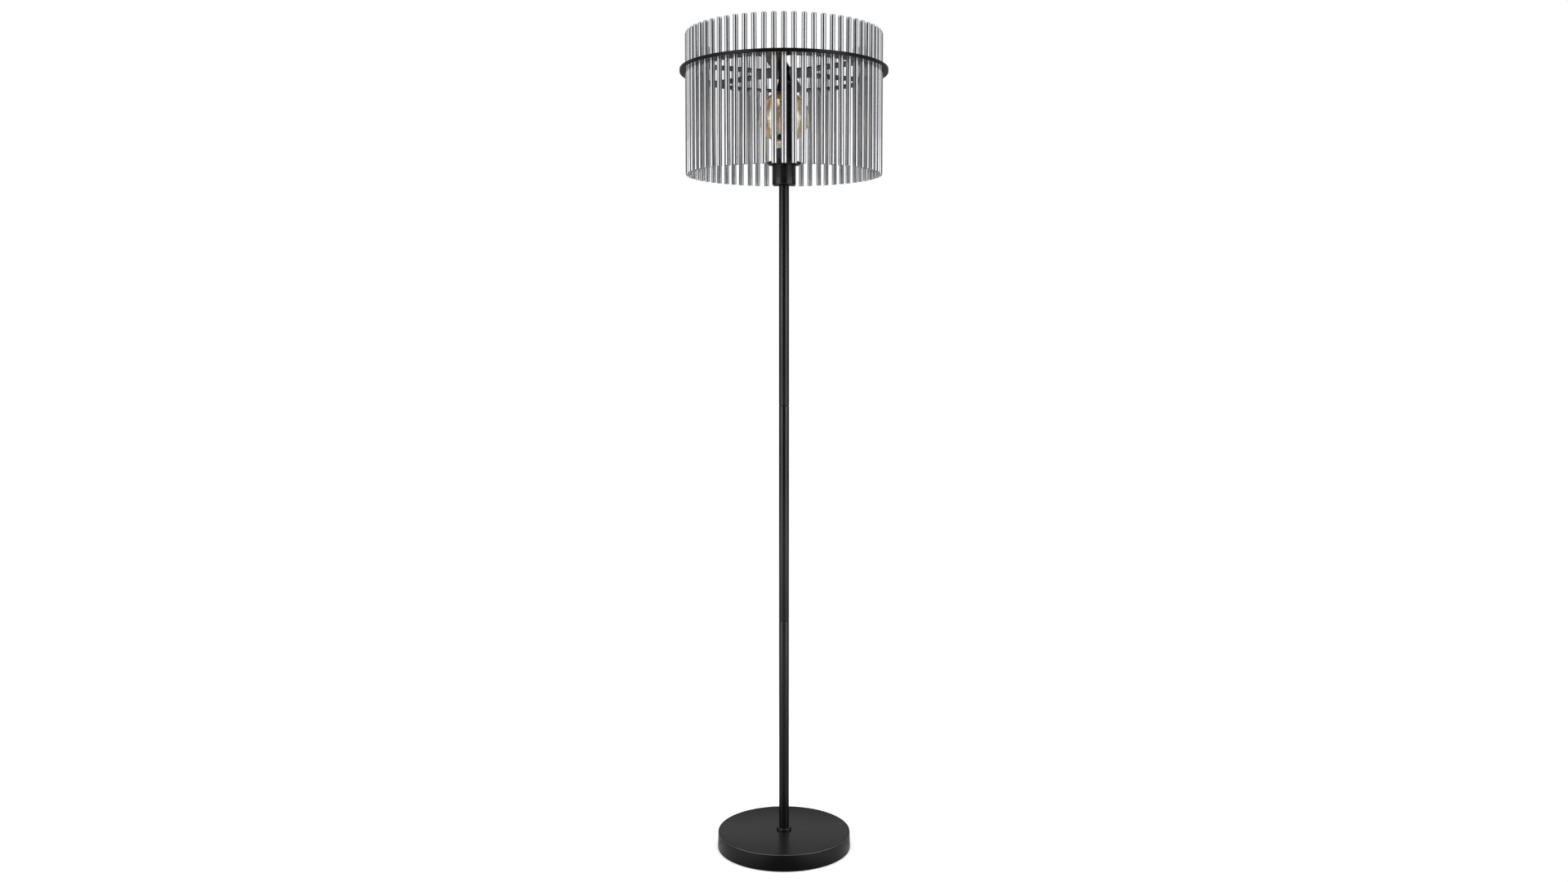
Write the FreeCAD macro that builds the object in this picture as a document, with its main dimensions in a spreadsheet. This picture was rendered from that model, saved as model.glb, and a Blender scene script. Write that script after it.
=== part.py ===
import FreeCAD, Part
import math
import os

import Sketcher

# Floor lamp with a cage of upright chrome rods.
# The origin is the middle of the underside, on the floor. +Z is up and the front of the lamp faces -Y.
# All sizes are in millimetres. Threads are drawn plain, at their outer diameter.

os.makedirs("parts", exist_ok=True)
doc = FreeCAD.newDocument("FloorLamp")

FULL_TURN = 360.0
FRONT = -90.0
TOLERANCE = 1e-3
DRAFT_RADIUS = 10.0
SECTORS = ("front", "front_right", "right", "back_right", "back", "back_left", "left", "front_left")

# Driving sizes: alias, value
DRIVING_SIZES = (
    # Base
    ("base_top_diameter", 254.0),
    ("base_foot_diameter", 256.0),
    ("base_height", 33.0),
    ("cover_wall", 1.5),
    ("cover_edge_radius", 1.2),
    ("skirt_clearance", 1.0),
    ("weight_clearance", 0.4),
    ("recess_diameter", 150.0),
    ("recess_depth", 12.0),
    ("pad_thickness", 2.0),
    ("pad_margin", 3.0),
    ("collar_diameter", 28.5),
    ("collar_height", 5.0),
    ("collar_edge_radius", 1.8),
    # Cord outlet
    ("outlet_height", 9.0),
    ("cord_bore_diameter", 6.0),
    ("gland_body_diameter", 8.8),
    ("gland_body_length", 12.0),
    ("gland_flange_diameter", 14.0),
    ("gland_flange_thickness", 2.5),
    # Pole
    ("pole_diameter", 19.0),
    ("pole_wall", 1.2),
    ("section_length", 411.0),
    ("section_count", 3),
    ("section_edge_chamfer", 0.4),
    ("bush_length", 14.0),
    ("stud_diameter", 10.0),
    ("stud_bore_diameter", 7.0),
    ("stud_inset", 1.0),
    ("nut_across_flats", 17.0),
    ("nut_height", 5.0),
    ("washer_thickness", 1.5),
    ("base_washer_diameter", 32.0),
    ("cup_washer_diameter", 22.0),
    ("fit_clearance", 0.05),
    # Socket cup
    ("cup_diameter", 44.0),
    ("cup_height", 37.5),
    ("cup_wall", 1.2),
    ("cup_floor", 1.8),
    ("cup_edge_radius", 2.4),
    # Lampholder
    ("holder_diameter", 38.0),
    ("holder_wall", 2.0),
    ("holder_floor", 3.0),
    ("holder_nut_gap", 0.5),
    ("holder_split_drop", 2.5),
    ("holder_edge_radius", 0.6),
    ("skirt_rise", 27.5),
    ("skirt_step_height", 5.0),
    ("skirt_step_depth", 1.2),
    ("shell_inner_diameter", 27.0),
    ("shell_wall", 0.5),
    ("shell_height", 27.0),
    ("contact_diameter", 9.0),
    ("contact_height", 2.6),
    ("contact_step", 1.0),
    ("screw_diameter", 3.0),
    ("screw_head_diameter", 5.0),
    ("screw_head_height", 1.6),
    ("screw_length", 12.0),
    ("screw_circle_diameter", 20.0),
    # Flange on the cup
    ("flange_diameter", 65.0),
    ("flange_thickness", 1.5),
    ("flange_rise", 4.5),
    ("flange_collar_width", 2.4),
    ("flange_collar_height", 9.0),
    # Harp
    ("harp_rise", 166.5),
    ("harp_leg_offset", 55.0),
    ("harp_strip_width", 14.0),
    ("harp_thickness", 2.0),
    ("harp_knee_drop", 24.0),
    ("harp_top_half_length", 13.0),
    ("harp_bend_radius", 7.0),
    ("harp_eye_diameter", 60.0),
    ("harp_turn", 8.0),
    # Carrier
    ("ring_outer_diameter", 386.0),
    ("ring_width", 30.0),
    ("carrier_thickness", 2.0),
    ("lip_height", 6.3),
    ("lip_thickness", 1.5),
    ("lip_bend_radius", 1.2),
    ("arm_count", 6),
    ("arm_width", 34.0),
    ("arm_turn", -7.0),
    ("arm_root_radius", 17.0),
    ("arm_end_radius", 15.0),
    # Hub fastener
    ("hub_screw_diameter", 6.0),
    ("hub_head_diameter", 10.5),
    ("hub_head_height", 3.3),
    ("hub_head_radius", 1.5),
    ("hub_socket_width", 4.0),
    ("hub_socket_depth", 2.0),
    ("hub_washer_diameter", 18.0),
    ("hub_washer_thickness", 1.2),
    ("hub_nut_across_flats", 10.0),
    ("hub_nut_height", 5.0),
    ("hub_screw_tail", 1.5),
    # Rods
    ("rod_count", 64),
    ("rod_inset", 15.0),
    ("rod_diameter", 9.5),
    ("rod_length", 256.5),
    ("rod_above_ring", 70.5),
    ("rod_end_radius", 1.4),
    ("rod_hole_clearance", 0.1),
    ("clip_thickness", 1.0),
    ("clip_outer_diameter", 12.0),
    ("clip_mouth_width", 5.0),
    ("groove_depth", 0.5),
    ("groove_play", 0.1),
    # Bulb
    ("body_gap", 0.4),
    ("bulb_diameter", 95.0),
    ("bulb_centre_rise", 60.0),
    ("bulb_neck_diameter", 32.0),
    ("bulb_neck_bend", 12.0),
    ("bulb_spigot_depth", 5.0),
    ("bulb_wall", 0.8),
    ("cap_diameter", 26.4),
    ("cap_wall", 0.4),
    ("cap_height", 23.0),
    ("cap_insulator_height", 3.2),
    ("cap_contact_diameter", 9.6),
    ("cap_contact_height", 0.8),
    ("stem_foot_height", 12.0),
    ("stem_diameter", 7.0),
    ("stem_height", 32.0),
    ("post_diameter", 3.0),
    ("post_height", 42.0),
    ("filament_count", 4),
    ("filament_length", 31.0),
    ("filament_diameter", 2.0),
    ("filament_circle_diameter", 16.0),
    ("wire_diameter", 0.8),
    ("wire_gap", 3.0),
)


def make_sheet():
    """Spreadsheet with one alias for each driving size."""
    new_sheet = doc.addObject("Spreadsheet::Sheet", "Sizes")
    for row, (alias, value) in enumerate(DRIVING_SIZES, start=1):
        new_sheet.set("A%d" % row, alias)
        new_sheet.set("B%d" % row, str(value))
        new_sheet.setAlias("B%d" % row, alias)
    doc.recompute()
    return new_sheet


sheet = make_sheet()


def size(alias):
    """Number held by the sheet under this alias."""
    return float(sheet.get(alias))


# Heights and radii that follow from the driving sizes, in the order in which they build on each other
FOLLOWING_SIZES = (
    ("weight_top", "Sizes.base_height - Sizes.cover_wall"),
    ("cover_inner_radius", "Sizes.base_top_diameter / 2 - Sizes.cover_wall"),
    ("cover_foot_inner_radius", "Sizes.base_foot_diameter / 2 - Sizes.cover_wall"),
    ("weight_radius",
     "min(Levels.cover_inner_radius; Levels.cover_foot_inner_radius) - Sizes.weight_clearance"),
    ("skirt_lean", "(Sizes.base_foot_diameter - Sizes.base_top_diameter) / 2"
     " / (Sizes.base_height - Sizes.skirt_clearance)"),
    ("flange_low", "Sizes.outlet_height - Sizes.gland_flange_diameter / 2 - Sizes.skirt_clearance"),
    ("outlet_seat", "Sizes.base_foot_diameter / 2 + Sizes.fit_clearance"
     " - min(Levels.skirt_lean * Levels.flange_low;"
     " Levels.skirt_lean * (Levels.flange_low + Sizes.gland_flange_diameter))"),
    ("gland_start", "Levels.outlet_seat - Sizes.gland_body_length"),
    ("outlet_radius", "Sizes.gland_body_diameter / 2 + 2 * Sizes.fit_clearance"),
    ("recess_top", "Sizes.pad_thickness + Sizes.recess_depth"),
    ("stud_radius", "Sizes.stud_diameter / 2"),
    ("stud_bore_radius", "Sizes.stud_bore_diameter / 2"),
    ("stud_hole_radius", "Levels.stud_radius + Sizes.fit_clearance"),
    ("base_washer_bottom", "Levels.recess_top - Sizes.washer_thickness"),
    ("base_nut_bottom", "Levels.base_washer_bottom - Sizes.nut_height"),
    ("base_stud_bottom", "Levels.base_nut_bottom - Sizes.stud_inset"),
    ("base_stud_top", "Sizes.base_height + Sizes.bush_length - Sizes.stud_inset"),
    ("pole_radius", "Sizes.pole_diameter / 2"),
    ("pole_inner_radius", "Levels.pole_radius - Sizes.pole_wall"),
    ("pole_top", "Sizes.base_height + Sizes.section_count * Sizes.section_length"),
    ("cup_stud_bottom", "Levels.pole_top - Sizes.bush_length + Sizes.stud_inset"),
    ("cup_floor_top", "Levels.pole_top + Sizes.cup_floor"),
    ("cup_nut_bottom", "Levels.cup_floor_top + Sizes.washer_thickness"),
    ("cup_nut_top", "Levels.cup_nut_bottom + Sizes.nut_height"),
    ("cup_top", "Levels.pole_top + Sizes.cup_height"),
    ("holder_radius", "Sizes.holder_diameter / 2"),
    ("holder_inner_radius", "Levels.holder_radius - Sizes.holder_wall"),
    ("holder_bottom", "Levels.cup_nut_top + Sizes.holder_nut_gap"),
    ("holder_floor_top", "Levels.holder_bottom + Sizes.holder_floor"),
    ("cup_stud_top", "Levels.holder_floor_top + Sizes.stud_inset"),
    ("holder_split", "Levels.cup_top - Sizes.holder_split_drop"),
    ("skirt_top", "Levels.cup_top + Sizes.skirt_rise"),
    ("shell_outer_radius", "Sizes.shell_inner_diameter / 2 + Sizes.shell_wall"),
    ("skirt_bore_radius", "Levels.shell_outer_radius + Sizes.fit_clearance"),
    ("eye_hole_radius", "Levels.holder_radius + 2 * Sizes.fit_clearance"),
    ("flange_bottom", "Levels.cup_top + Sizes.harp_thickness"),
    ("flange_collar_radius", "Levels.eye_hole_radius + Sizes.flange_collar_width"),
    ("flange_collar_top", "Levels.flange_bottom + Sizes.flange_collar_height"),
    ("carrier_bottom", "Levels.cup_top + Sizes.harp_rise"),
    ("carrier_top", "Levels.carrier_bottom + Sizes.carrier_thickness"),
    ("harp_inner_top", "Levels.carrier_bottom - Sizes.harp_thickness"),
    ("ring_outer_radius", "Sizes.ring_outer_diameter / 2"),
    ("ring_inner_radius", "Levels.ring_outer_radius - Sizes.ring_width"),
    ("lip_inner_radius", "Levels.ring_outer_radius - Sizes.lip_thickness"),
    ("lip_top", "Levels.carrier_bottom + Sizes.lip_height"),
    ("hub_hole_radius", "Sizes.hub_screw_diameter / 2 + Sizes.fit_clearance"),
    ("hub_washer_top", "Levels.carrier_top + Sizes.hub_washer_thickness"),
    ("hub_head_top", "Levels.hub_washer_top + Sizes.hub_head_height"),
    ("hub_nut_bottom", "Levels.harp_inner_top - Sizes.hub_nut_height"),
    ("hub_screw_bottom", "Levels.hub_nut_bottom - Sizes.hub_screw_tail"),
    ("rod_radius", "Sizes.rod_diameter / 2"),
    ("rod_circle_radius", "Levels.ring_outer_radius - Sizes.rod_inset"),
    ("rod_hole_radius", "Levels.rod_radius + Sizes.rod_hole_clearance"),
    ("rod_top", "Levels.carrier_bottom + Sizes.rod_above_ring"),
    ("rod_bottom", "Levels.rod_top - Sizes.rod_length"),
    ("groove_radius", "Levels.rod_radius - Sizes.groove_depth"),
    ("groove_bottom", "Levels.carrier_top - Sizes.groove_play"),
    ("clip_top", "Levels.carrier_top + Sizes.clip_thickness"),
    ("clip_inner_radius", "Levels.groove_radius + Sizes.fit_clearance"),
    ("bulb_seat", "Levels.skirt_top + Sizes.body_gap"),
    ("bulb_centre", "Levels.skirt_top + Sizes.bulb_centre_rise"),
    ("cap_radius", "Sizes.cap_diameter / 2"),
    ("cap_inner_radius", "Levels.cap_radius - Sizes.cap_wall"),
    ("cap_bottom", "Levels.bulb_seat - Sizes.cap_height"),
    ("insulator_bottom", "Levels.cap_bottom - Sizes.cap_insulator_height"),
    ("cap_contact_radius", "Sizes.cap_contact_diameter / 2"),
    ("cap_contact_bottom", "Levels.insulator_bottom - Sizes.cap_contact_height"),
    ("spigot_radius", "Levels.cap_inner_radius - Sizes.fit_clearance"),
    ("spigot_bottom", "Levels.bulb_seat - Sizes.bulb_spigot_depth"),
    ("stem_foot_top", "Levels.spigot_bottom + Sizes.stem_foot_height"),
    ("stem_top", "Levels.spigot_bottom + Sizes.stem_height"),
    ("post_top", "Levels.stem_top + Sizes.post_height"),
    ("filament_bottom", "Levels.stem_top + Sizes.wire_gap + Sizes.wire_diameter"),
    ("filament_top", "Levels.filament_bottom + Sizes.filament_length"),
)


def make_levels():
    """Set of values that the driving sizes determine through expressions."""
    values = doc.addObject("App::VarSet", "Levels")
    for name, expression in FOLLOWING_SIZES:
        values.addProperty("App::PropertyFloat", name)
        values.setExpression(name, expression)
    doc.recompute()
    return values


levels = make_levels()


def origin_plane(body, role):
    """One of the three planes that the body carries."""
    for feature in body.Origin.OriginFeatures:
        if feature.Role == role:
            return feature
    raise RuntimeError("no plane " + role)


def outline_sketch(body, outline):
    """Closed sketch on the upright plane through the axis, each corner bound to a radius and a height."""
    sketch = body.newObject("Sketcher::SketchObject", body.Name + "_outline")
    sketch.AttachmentSupport = [(origin_plane(body, "XZ_Plane"), "")]
    sketch.MapMode = "FlatFace"
    count = len(outline)
    centre = FreeCAD.Vector(2.0 * DRAFT_RADIUS, 2.0 * DRAFT_RADIUS, 0)
    draft = []
    for number in range(count):
        angle = 2.0 * math.pi * number / count
        draft.append(centre + FreeCAD.Vector(math.cos(angle), math.sin(angle), 0) * DRAFT_RADIUS)
    for number in range(count):
        sketch.addGeometry(Part.LineSegment(draft[number], draft[(number + 1) % count]), False)
    for number in range(count):
        sketch.addConstraint(Sketcher.Constraint("Coincident", number, 2, (number + 1) % count, 1))
    for number, corner in enumerate(outline):
        if corner[0] == "0":
            sketch.addConstraint(Sketcher.Constraint("PointOnObject", number, 1, -2))
        else:
            bind_corner(sketch, "DistanceX", number, draft[number].x, "radius_%d" % number, corner[0])
        bind_corner(sketch, "DistanceY", number, draft[number].y, "height_%d" % number, corner[1])
    return sketch


def bind_corner(sketch, kind, number, start_value, name, expression):
    """Distance of one sketch corner from the origin, driven by an expression."""
    index = sketch.addConstraint(Sketcher.Constraint(kind, -1, 1, number, 1, start_value))
    sketch.renameConstraint(index, name)
    sketch.setExpression("Constraints." + name, expression)


def circle_edges(shape, radius, height):
    """Names of the full circles of this radius at this height."""
    names = []
    for number, edge in enumerate(shape.Edges, start=1):
        curve = edge.Curve
        if isinstance(curve, Part.Circle) and abs(curve.Radius - radius) < TOLERANCE:
            if abs(curve.Center.z - height) < TOLERANCE:
                names.append("Edge%d" % number)
    return names


def turned(name, outline):
    """Body revolved about the lamp's axis.

    A corner is (radius, height), or (radius, height, edge radius) where the edge is rounded.
    """
    body = doc.addObject("PartDesign::Body", name)
    body.Label = name
    sketch = outline_sketch(body, outline)
    revolution = body.newObject("PartDesign::Revolution", name + "_turned")
    revolution.Profile = sketch
    revolution.ReferenceAxis = (sketch, ["V_Axis"])
    revolution.Angle = FULL_TURN
    sketch.Visibility = False
    doc.recompute()
    for number, corner in enumerate(outline):
        if len(corner) == 3:
            point = sketch.Geometry[number].StartPoint
            base = body.Tip
            fillet = body.newObject("PartDesign::Fillet", "%s_round_%d" % (name, number))
            fillet.Base = (base, circle_edges(base.Shape, point.x, point.y))
            fillet.setExpression("Radius", corner[2])
            doc.recompute()
    return body


def tube_outline(inner, outer, bottom, top):
    """Corners of a plain ring or tube."""
    return ((inner, bottom), (outer, bottom), (outer, top), (inner, top))


def cylinder(name, radius, height, bottom):
    """Upright cylinder on the lamp's axis."""
    solid = doc.addObject("Part::Cylinder", name)
    solid.setExpression("Radius", radius)
    solid.setExpression("Height", height)
    solid.setExpression("Placement.Base.z", bottom)
    return solid


def cut(name, base, tool):
    """Base with the tool taken away."""
    result = doc.addObject("Part::Cut", name)
    result.Base = base
    result.Tool = tool
    result.Label = name
    return result


def hexagon_prism(name, across_flats, height, bottom):
    """Six-sided prism on the lamp's axis."""
    prism = doc.addObject("Part::Prism", name)
    prism.Polygon = 6
    prism.setExpression("Circumradius", "(%s) / sqrt(3)" % across_flats)
    prism.setExpression("Height", height)
    prism.setExpression("Placement.Base.z", bottom)
    return prism


def hexagon_nut(name, across_flats, height, bottom, hole_radius):
    """Plain nut on the lamp's axis."""
    prism = hexagon_prism(name + "_blank", across_flats, height, bottom)
    hole = cylinder(name + "_bore", hole_radius, height, bottom)
    return cut(name, prism, hole)


def group(name, solids):
    """Separate solids kept together as one node."""
    node = doc.addObject("Part::Feature", name)
    node.Shape = Part.Compound(solids)
    node.Label = name
    return node


def moved(shape, rise=0.0, turn=0.0):
    """Copy of a shape, raised and turned about the lamp's axis."""
    copy = shape.copy()
    rotation = FreeCAD.Rotation(FreeCAD.Vector(0, 0, 1), turn)
    copy.Placement = FreeCAD.Placement(FreeCAD.Vector(0, 0, rise), rotation).multiply(copy.Placement)
    return copy


def outlet_tool(name, radius, inner_reach, length):
    """Cylinder along the cord's way out at the back, from inner_reach outwards."""
    tool = doc.addObject("Part::Cylinder", name)
    tool.setExpression("Radius", radius)
    tool.setExpression("Height", length)
    tool.Placement = FreeCAD.Placement(FreeCAD.Vector(), FreeCAD.Rotation(FreeCAD.Vector(1, 0, 0), FRONT))
    tool.setExpression("Placement.Base.y", inner_reach)
    tool.setExpression("Placement.Base.z", "Sizes.outlet_height")
    return tool


def base_cover():
    shell = turned("base_cover_shell", (
        ("Levels.stud_hole_radius", "Levels.weight_top"),
        ("Levels.cover_inner_radius", "Levels.weight_top"),
        ("Levels.cover_foot_inner_radius", "Sizes.skirt_clearance"),
        ("Sizes.base_foot_diameter / 2", "Sizes.skirt_clearance"),
        ("Sizes.base_top_diameter / 2", "Sizes.base_height", "Sizes.cover_edge_radius"),
        ("Levels.stud_hole_radius", "Sizes.base_height"),
    ))
    hole = outlet_tool("cover_outlet", "Levels.outlet_radius",
                       "Levels.gland_start", "2 * Sizes.gland_body_length")
    return cut("base_cover", shell, hole)


def base_weight():
    disc = turned("base_weight_disc", (
        ("Levels.stud_hole_radius", "Levels.recess_top"),
        ("Sizes.recess_diameter / 2", "Levels.recess_top"),
        ("Sizes.recess_diameter / 2", "Sizes.pad_thickness"),
        ("Levels.weight_radius", "Sizes.pad_thickness"),
        ("Levels.weight_radius", "Levels.weight_top"),
        ("Levels.stud_hole_radius", "Levels.weight_top"),
    ))
    start = "Sizes.recess_diameter / 2 - Sizes.gland_body_diameter"
    channel = outlet_tool("weight_channel", "Levels.outlet_radius", start, "Levels.weight_radius")
    return cut("base_weight", disc, channel)


def base_pad():
    return turned("base_pad", (
        ("0", "0"),
        ("Levels.weight_radius - Sizes.pad_margin", "0"),
        ("Levels.weight_radius - Sizes.pad_margin", "Sizes.pad_thickness"),
        ("0", "Sizes.pad_thickness"),
    ))


def cord_gland():
    """Rubber bush whose flange seats on the widest part of the cover that it crosses."""
    full_length = "Sizes.gland_body_length + Sizes.gland_flange_thickness"
    barrel = outlet_tool("gland_barrel", "Sizes.gland_body_diameter / 2", "Levels.gland_start", full_length)
    flange = outlet_tool("gland_flange", "Sizes.gland_flange_diameter / 2",
                         "Levels.outlet_seat", "Sizes.gland_flange_thickness")
    bore = outlet_tool("gland_bore", "Sizes.cord_bore_diameter / 2", "Levels.gland_start", full_length)
    blank = doc.addObject("Part::Fuse", "gland_blank")
    blank.Base = barrel
    blank.Tool = flange
    blank.Refine = True
    return cut("cord_gland", blank, bore)


def base_fasteners():
    stud = turned("base_stud", tube_outline(
        "Levels.stud_bore_radius", "Levels.stud_radius", "Levels.base_stud_bottom", "Levels.base_stud_top"))
    washer = turned("base_washer", tube_outline(
        "Levels.stud_hole_radius", "Sizes.base_washer_diameter / 2",
        "Levels.base_washer_bottom", "Levels.recess_top"))
    nut = hexagon_nut("base_nut", "Sizes.nut_across_flats", "Sizes.nut_height",
                      "Levels.base_nut_bottom", "Levels.stud_hole_radius")
    return [stud, washer, nut]


def foot_collar():
    inner = "Levels.pole_radius + Sizes.fit_clearance"
    outer = "Sizes.collar_diameter / 2"
    top = "Sizes.base_height + Sizes.collar_height"
    return turned("foot_collar", (
        (inner, "Sizes.base_height"),
        (outer, "Sizes.base_height"),
        (outer, top, "Sizes.collar_edge_radius"),
        (inner, top),
    ))


def pole_section(name, number):
    """One tube of the pole, with small chamfers that show as the joint line."""
    bottom = "Sizes.base_height + %d * Sizes.section_length" % number
    top = "Sizes.base_height + %d * Sizes.section_length" % (number + 1)
    chamfer = "Sizes.section_edge_chamfer"
    return turned(name, (
        ("Levels.pole_inner_radius", bottom),
        ("Levels.pole_radius - " + chamfer, bottom),
        ("Levels.pole_radius", "%s + %s" % (bottom, chamfer)),
        ("Levels.pole_radius", "%s - %s" % (top, chamfer)),
        ("Levels.pole_radius - " + chamfer, top),
        ("Levels.pole_inner_radius", top),
    ))


def pole_fittings():
    """Bushes in the six tube ends and the hollow nipples that join the sections."""
    base = size("base_height")
    section = size("section_length")
    count = int(size("section_count"))
    bush = turned("bush_pattern", tube_outline(
        "Levels.stud_hole_radius", "Levels.pole_inner_radius - Sizes.fit_clearance",
        "0", "Sizes.bush_length"))
    nipple = turned("nipple_pattern", tube_outline(
        "Levels.stud_bore_radius", "Levels.stud_radius",
        "Sizes.stud_inset - Sizes.bush_length", "Sizes.bush_length - Sizes.stud_inset"))
    bushes = []
    nipples = []
    for number in range(count):
        bushes.append(moved(bush.Shape, rise=base + number * section))
        bushes.append(moved(bush.Shape, rise=base + (number + 1) * section - size("bush_length")))
        if number > 0:
            nipples.append(moved(nipple.Shape, rise=base + number * section))
    return [group("pole_bushes", bushes), group("pole_nipples", nipples)]


def socket_cup():
    outer = "Sizes.cup_diameter / 2"
    inner = "Sizes.cup_diameter / 2 - Sizes.cup_wall"
    return turned("socket_cup", (
        ("Levels.stud_hole_radius", "Levels.pole_top"),
        (outer, "Levels.pole_top", "Sizes.cup_edge_radius"),
        (outer, "Levels.cup_top"),
        (inner, "Levels.cup_top"),
        (inner, "Levels.cup_floor_top", "Sizes.cup_edge_radius - Sizes.cup_wall"),
        ("Levels.stud_hole_radius", "Levels.cup_floor_top"),
    ))


def cup_fasteners():
    stud = turned("cup_stud", tube_outline(
        "Levels.stud_bore_radius", "Levels.stud_radius", "Levels.cup_stud_bottom", "Levels.cup_stud_top"))
    washer = turned("cup_washer", tube_outline(
        "Levels.stud_hole_radius", "Sizes.cup_washer_diameter / 2",
        "Levels.cup_floor_top", "Levels.cup_nut_bottom"))
    nut = hexagon_nut("cup_nut", "Sizes.nut_across_flats", "Sizes.nut_height",
                      "Levels.cup_nut_bottom", "Levels.stud_hole_radius")
    return [stud, washer, nut]


def lampholder():
    """Base, insert, skirt, thread shell, centre contact and terminal screws."""
    base = turned("lampholder_base", (
        ("Levels.stud_hole_radius", "Levels.holder_bottom"),
        ("Levels.holder_radius", "Levels.holder_bottom", "Sizes.holder_edge_radius"),
        ("Levels.holder_radius", "Levels.holder_split"),
        ("Levels.holder_inner_radius", "Levels.holder_split"),
        ("Levels.holder_inner_radius", "Levels.holder_floor_top"),
        ("Levels.stud_hole_radius", "Levels.holder_floor_top"),
    ))
    insert_radius = "Levels.holder_inner_radius - Sizes.fit_clearance"
    insert_blank = turned("insert_blank", (
        ("Levels.stud_radius + Sizes.stud_inset", "Levels.holder_floor_top"),
        (insert_radius, "Levels.holder_floor_top"),
        (insert_radius, "Levels.holder_split"),
        ("0", "Levels.holder_split"),
        ("0", "Levels.cup_stud_top + Sizes.stud_inset"),
        ("Levels.stud_radius + Sizes.stud_inset", "Levels.cup_stud_top + Sizes.stud_inset"),
    ))
    screw_circle = size("screw_circle_diameter") / 2.0
    screw = turned("screw_pattern", (
        ("0", "Levels.holder_split - Sizes.screw_length"),
        ("Sizes.screw_diameter / 2", "Levels.holder_split - Sizes.screw_length"),
        ("Sizes.screw_diameter / 2", "Levels.holder_split"),
        ("Sizes.screw_head_diameter / 2", "Levels.holder_split"),
        ("Sizes.screw_head_diameter / 2", "Levels.holder_split + Sizes.screw_head_height"),
        ("0", "Levels.holder_split + Sizes.screw_head_height"),
    ))
    screw_hole_radius = size("screw_diameter") / 2.0 + size("fit_clearance")
    screws = []
    holes = []
    for side in (-1.0, 1.0):
        place = FreeCAD.Vector(side * screw_circle, 0, 0)
        one_screw = screw.Shape.copy()
        one_screw.translate(place)
        screws.append(one_screw)
        start = FreeCAD.Vector(place.x, 0, levels.holder_split - size("screw_length") - size("fit_clearance"))
        hole_length = size("screw_length") + 2.0 * size("fit_clearance")
        holes.append(Part.makeCylinder(screw_hole_radius, hole_length, start))
    screw_holes = group("insert_screw_holes", holes)
    insert = cut("lampholder_insert", insert_blank, screw_holes)
    shell = turned("thread_shell", tube_outline(
        "Sizes.shell_inner_diameter / 2", "Levels.shell_outer_radius",
        "Levels.holder_split", "Levels.holder_split + Sizes.shell_height"))
    step_bottom = "Levels.skirt_top - Sizes.skirt_step_height"
    step_radius = "Levels.holder_radius - Sizes.skirt_step_depth"
    skirt = turned("lampholder_skirt", (
        ("Levels.skirt_bore_radius", "Levels.holder_split"),
        ("Levels.holder_radius", "Levels.holder_split"),
        ("Levels.holder_radius", step_bottom),
        (step_radius, step_bottom),
        (step_radius, "Levels.skirt_top", "Sizes.holder_edge_radius"),
        ("Levels.skirt_bore_radius", "Levels.skirt_top"),
    ))
    contact_radius = "Sizes.contact_diameter / 2"
    contact = turned("centre_contact", (
        ("0", "Levels.holder_split"),
        (contact_radius, "Levels.holder_split"),
        (contact_radius, "Levels.holder_split + Sizes.contact_step"),
        (contact_radius + " - Sizes.contact_step", "Levels.holder_split + Sizes.contact_height"),
        ("0", "Levels.holder_split + Sizes.contact_height"),
    ))
    return [base, insert, shell, skirt, contact, group("terminal_screws", screws)]


def shade_ring():
    """Threaded collar with a thin conical flange that clamps the harp's eye on the cup."""
    rim = "Sizes.flange_diameter / 2"
    return turned("shade_ring", (
        ("Levels.eye_hole_radius", "Levels.flange_bottom"),
        ("Levels.flange_collar_radius", "Levels.flange_bottom"),
        ("Levels.flange_collar_radius", "Levels.flange_bottom + Sizes.flange_rise"),
        (rim, "Levels.flange_bottom + Sizes.body_gap"),
        (rim, "Levels.flange_bottom + Sizes.body_gap + Sizes.flange_thickness"),
        ("Levels.flange_collar_radius", "Levels.flange_bottom + Sizes.flange_rise + Sizes.flange_thickness"),
        ("Levels.flange_collar_radius", "Levels.flange_collar_top"),
        ("Levels.eye_hole_radius", "Levels.flange_collar_top"),
    ))


def rounded_loop(corners, radius):
    """Closed wire through the corners in the YZ plane, each corner rounded with the same radius."""
    count = len(corners)
    edges = []
    stops = []
    for number in range(count):
        before = (corners[number - 1] - corners[number]).normalize()
        after = (corners[(number + 1) % count] - corners[number]).normalize()
        half_angle = before.getAngle(after) / 2.0
        reach = radius / math.tan(half_angle)
        middle_way = (before + after).normalize()
        centre = corners[number] + middle_way * (radius / math.sin(half_angle))
        start = corners[number] + before * reach
        end = corners[number] + after * reach
        edges.append(Part.Arc(start, centre - middle_way * radius, end).toShape())
        stops.append((start, end))
    for number in range(count):
        edges.append(Part.LineSegment(stops[number][1], stops[(number + 1) % count][0]).toShape())
    return Part.Wire(Part.__sortEdges__(edges))


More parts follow.
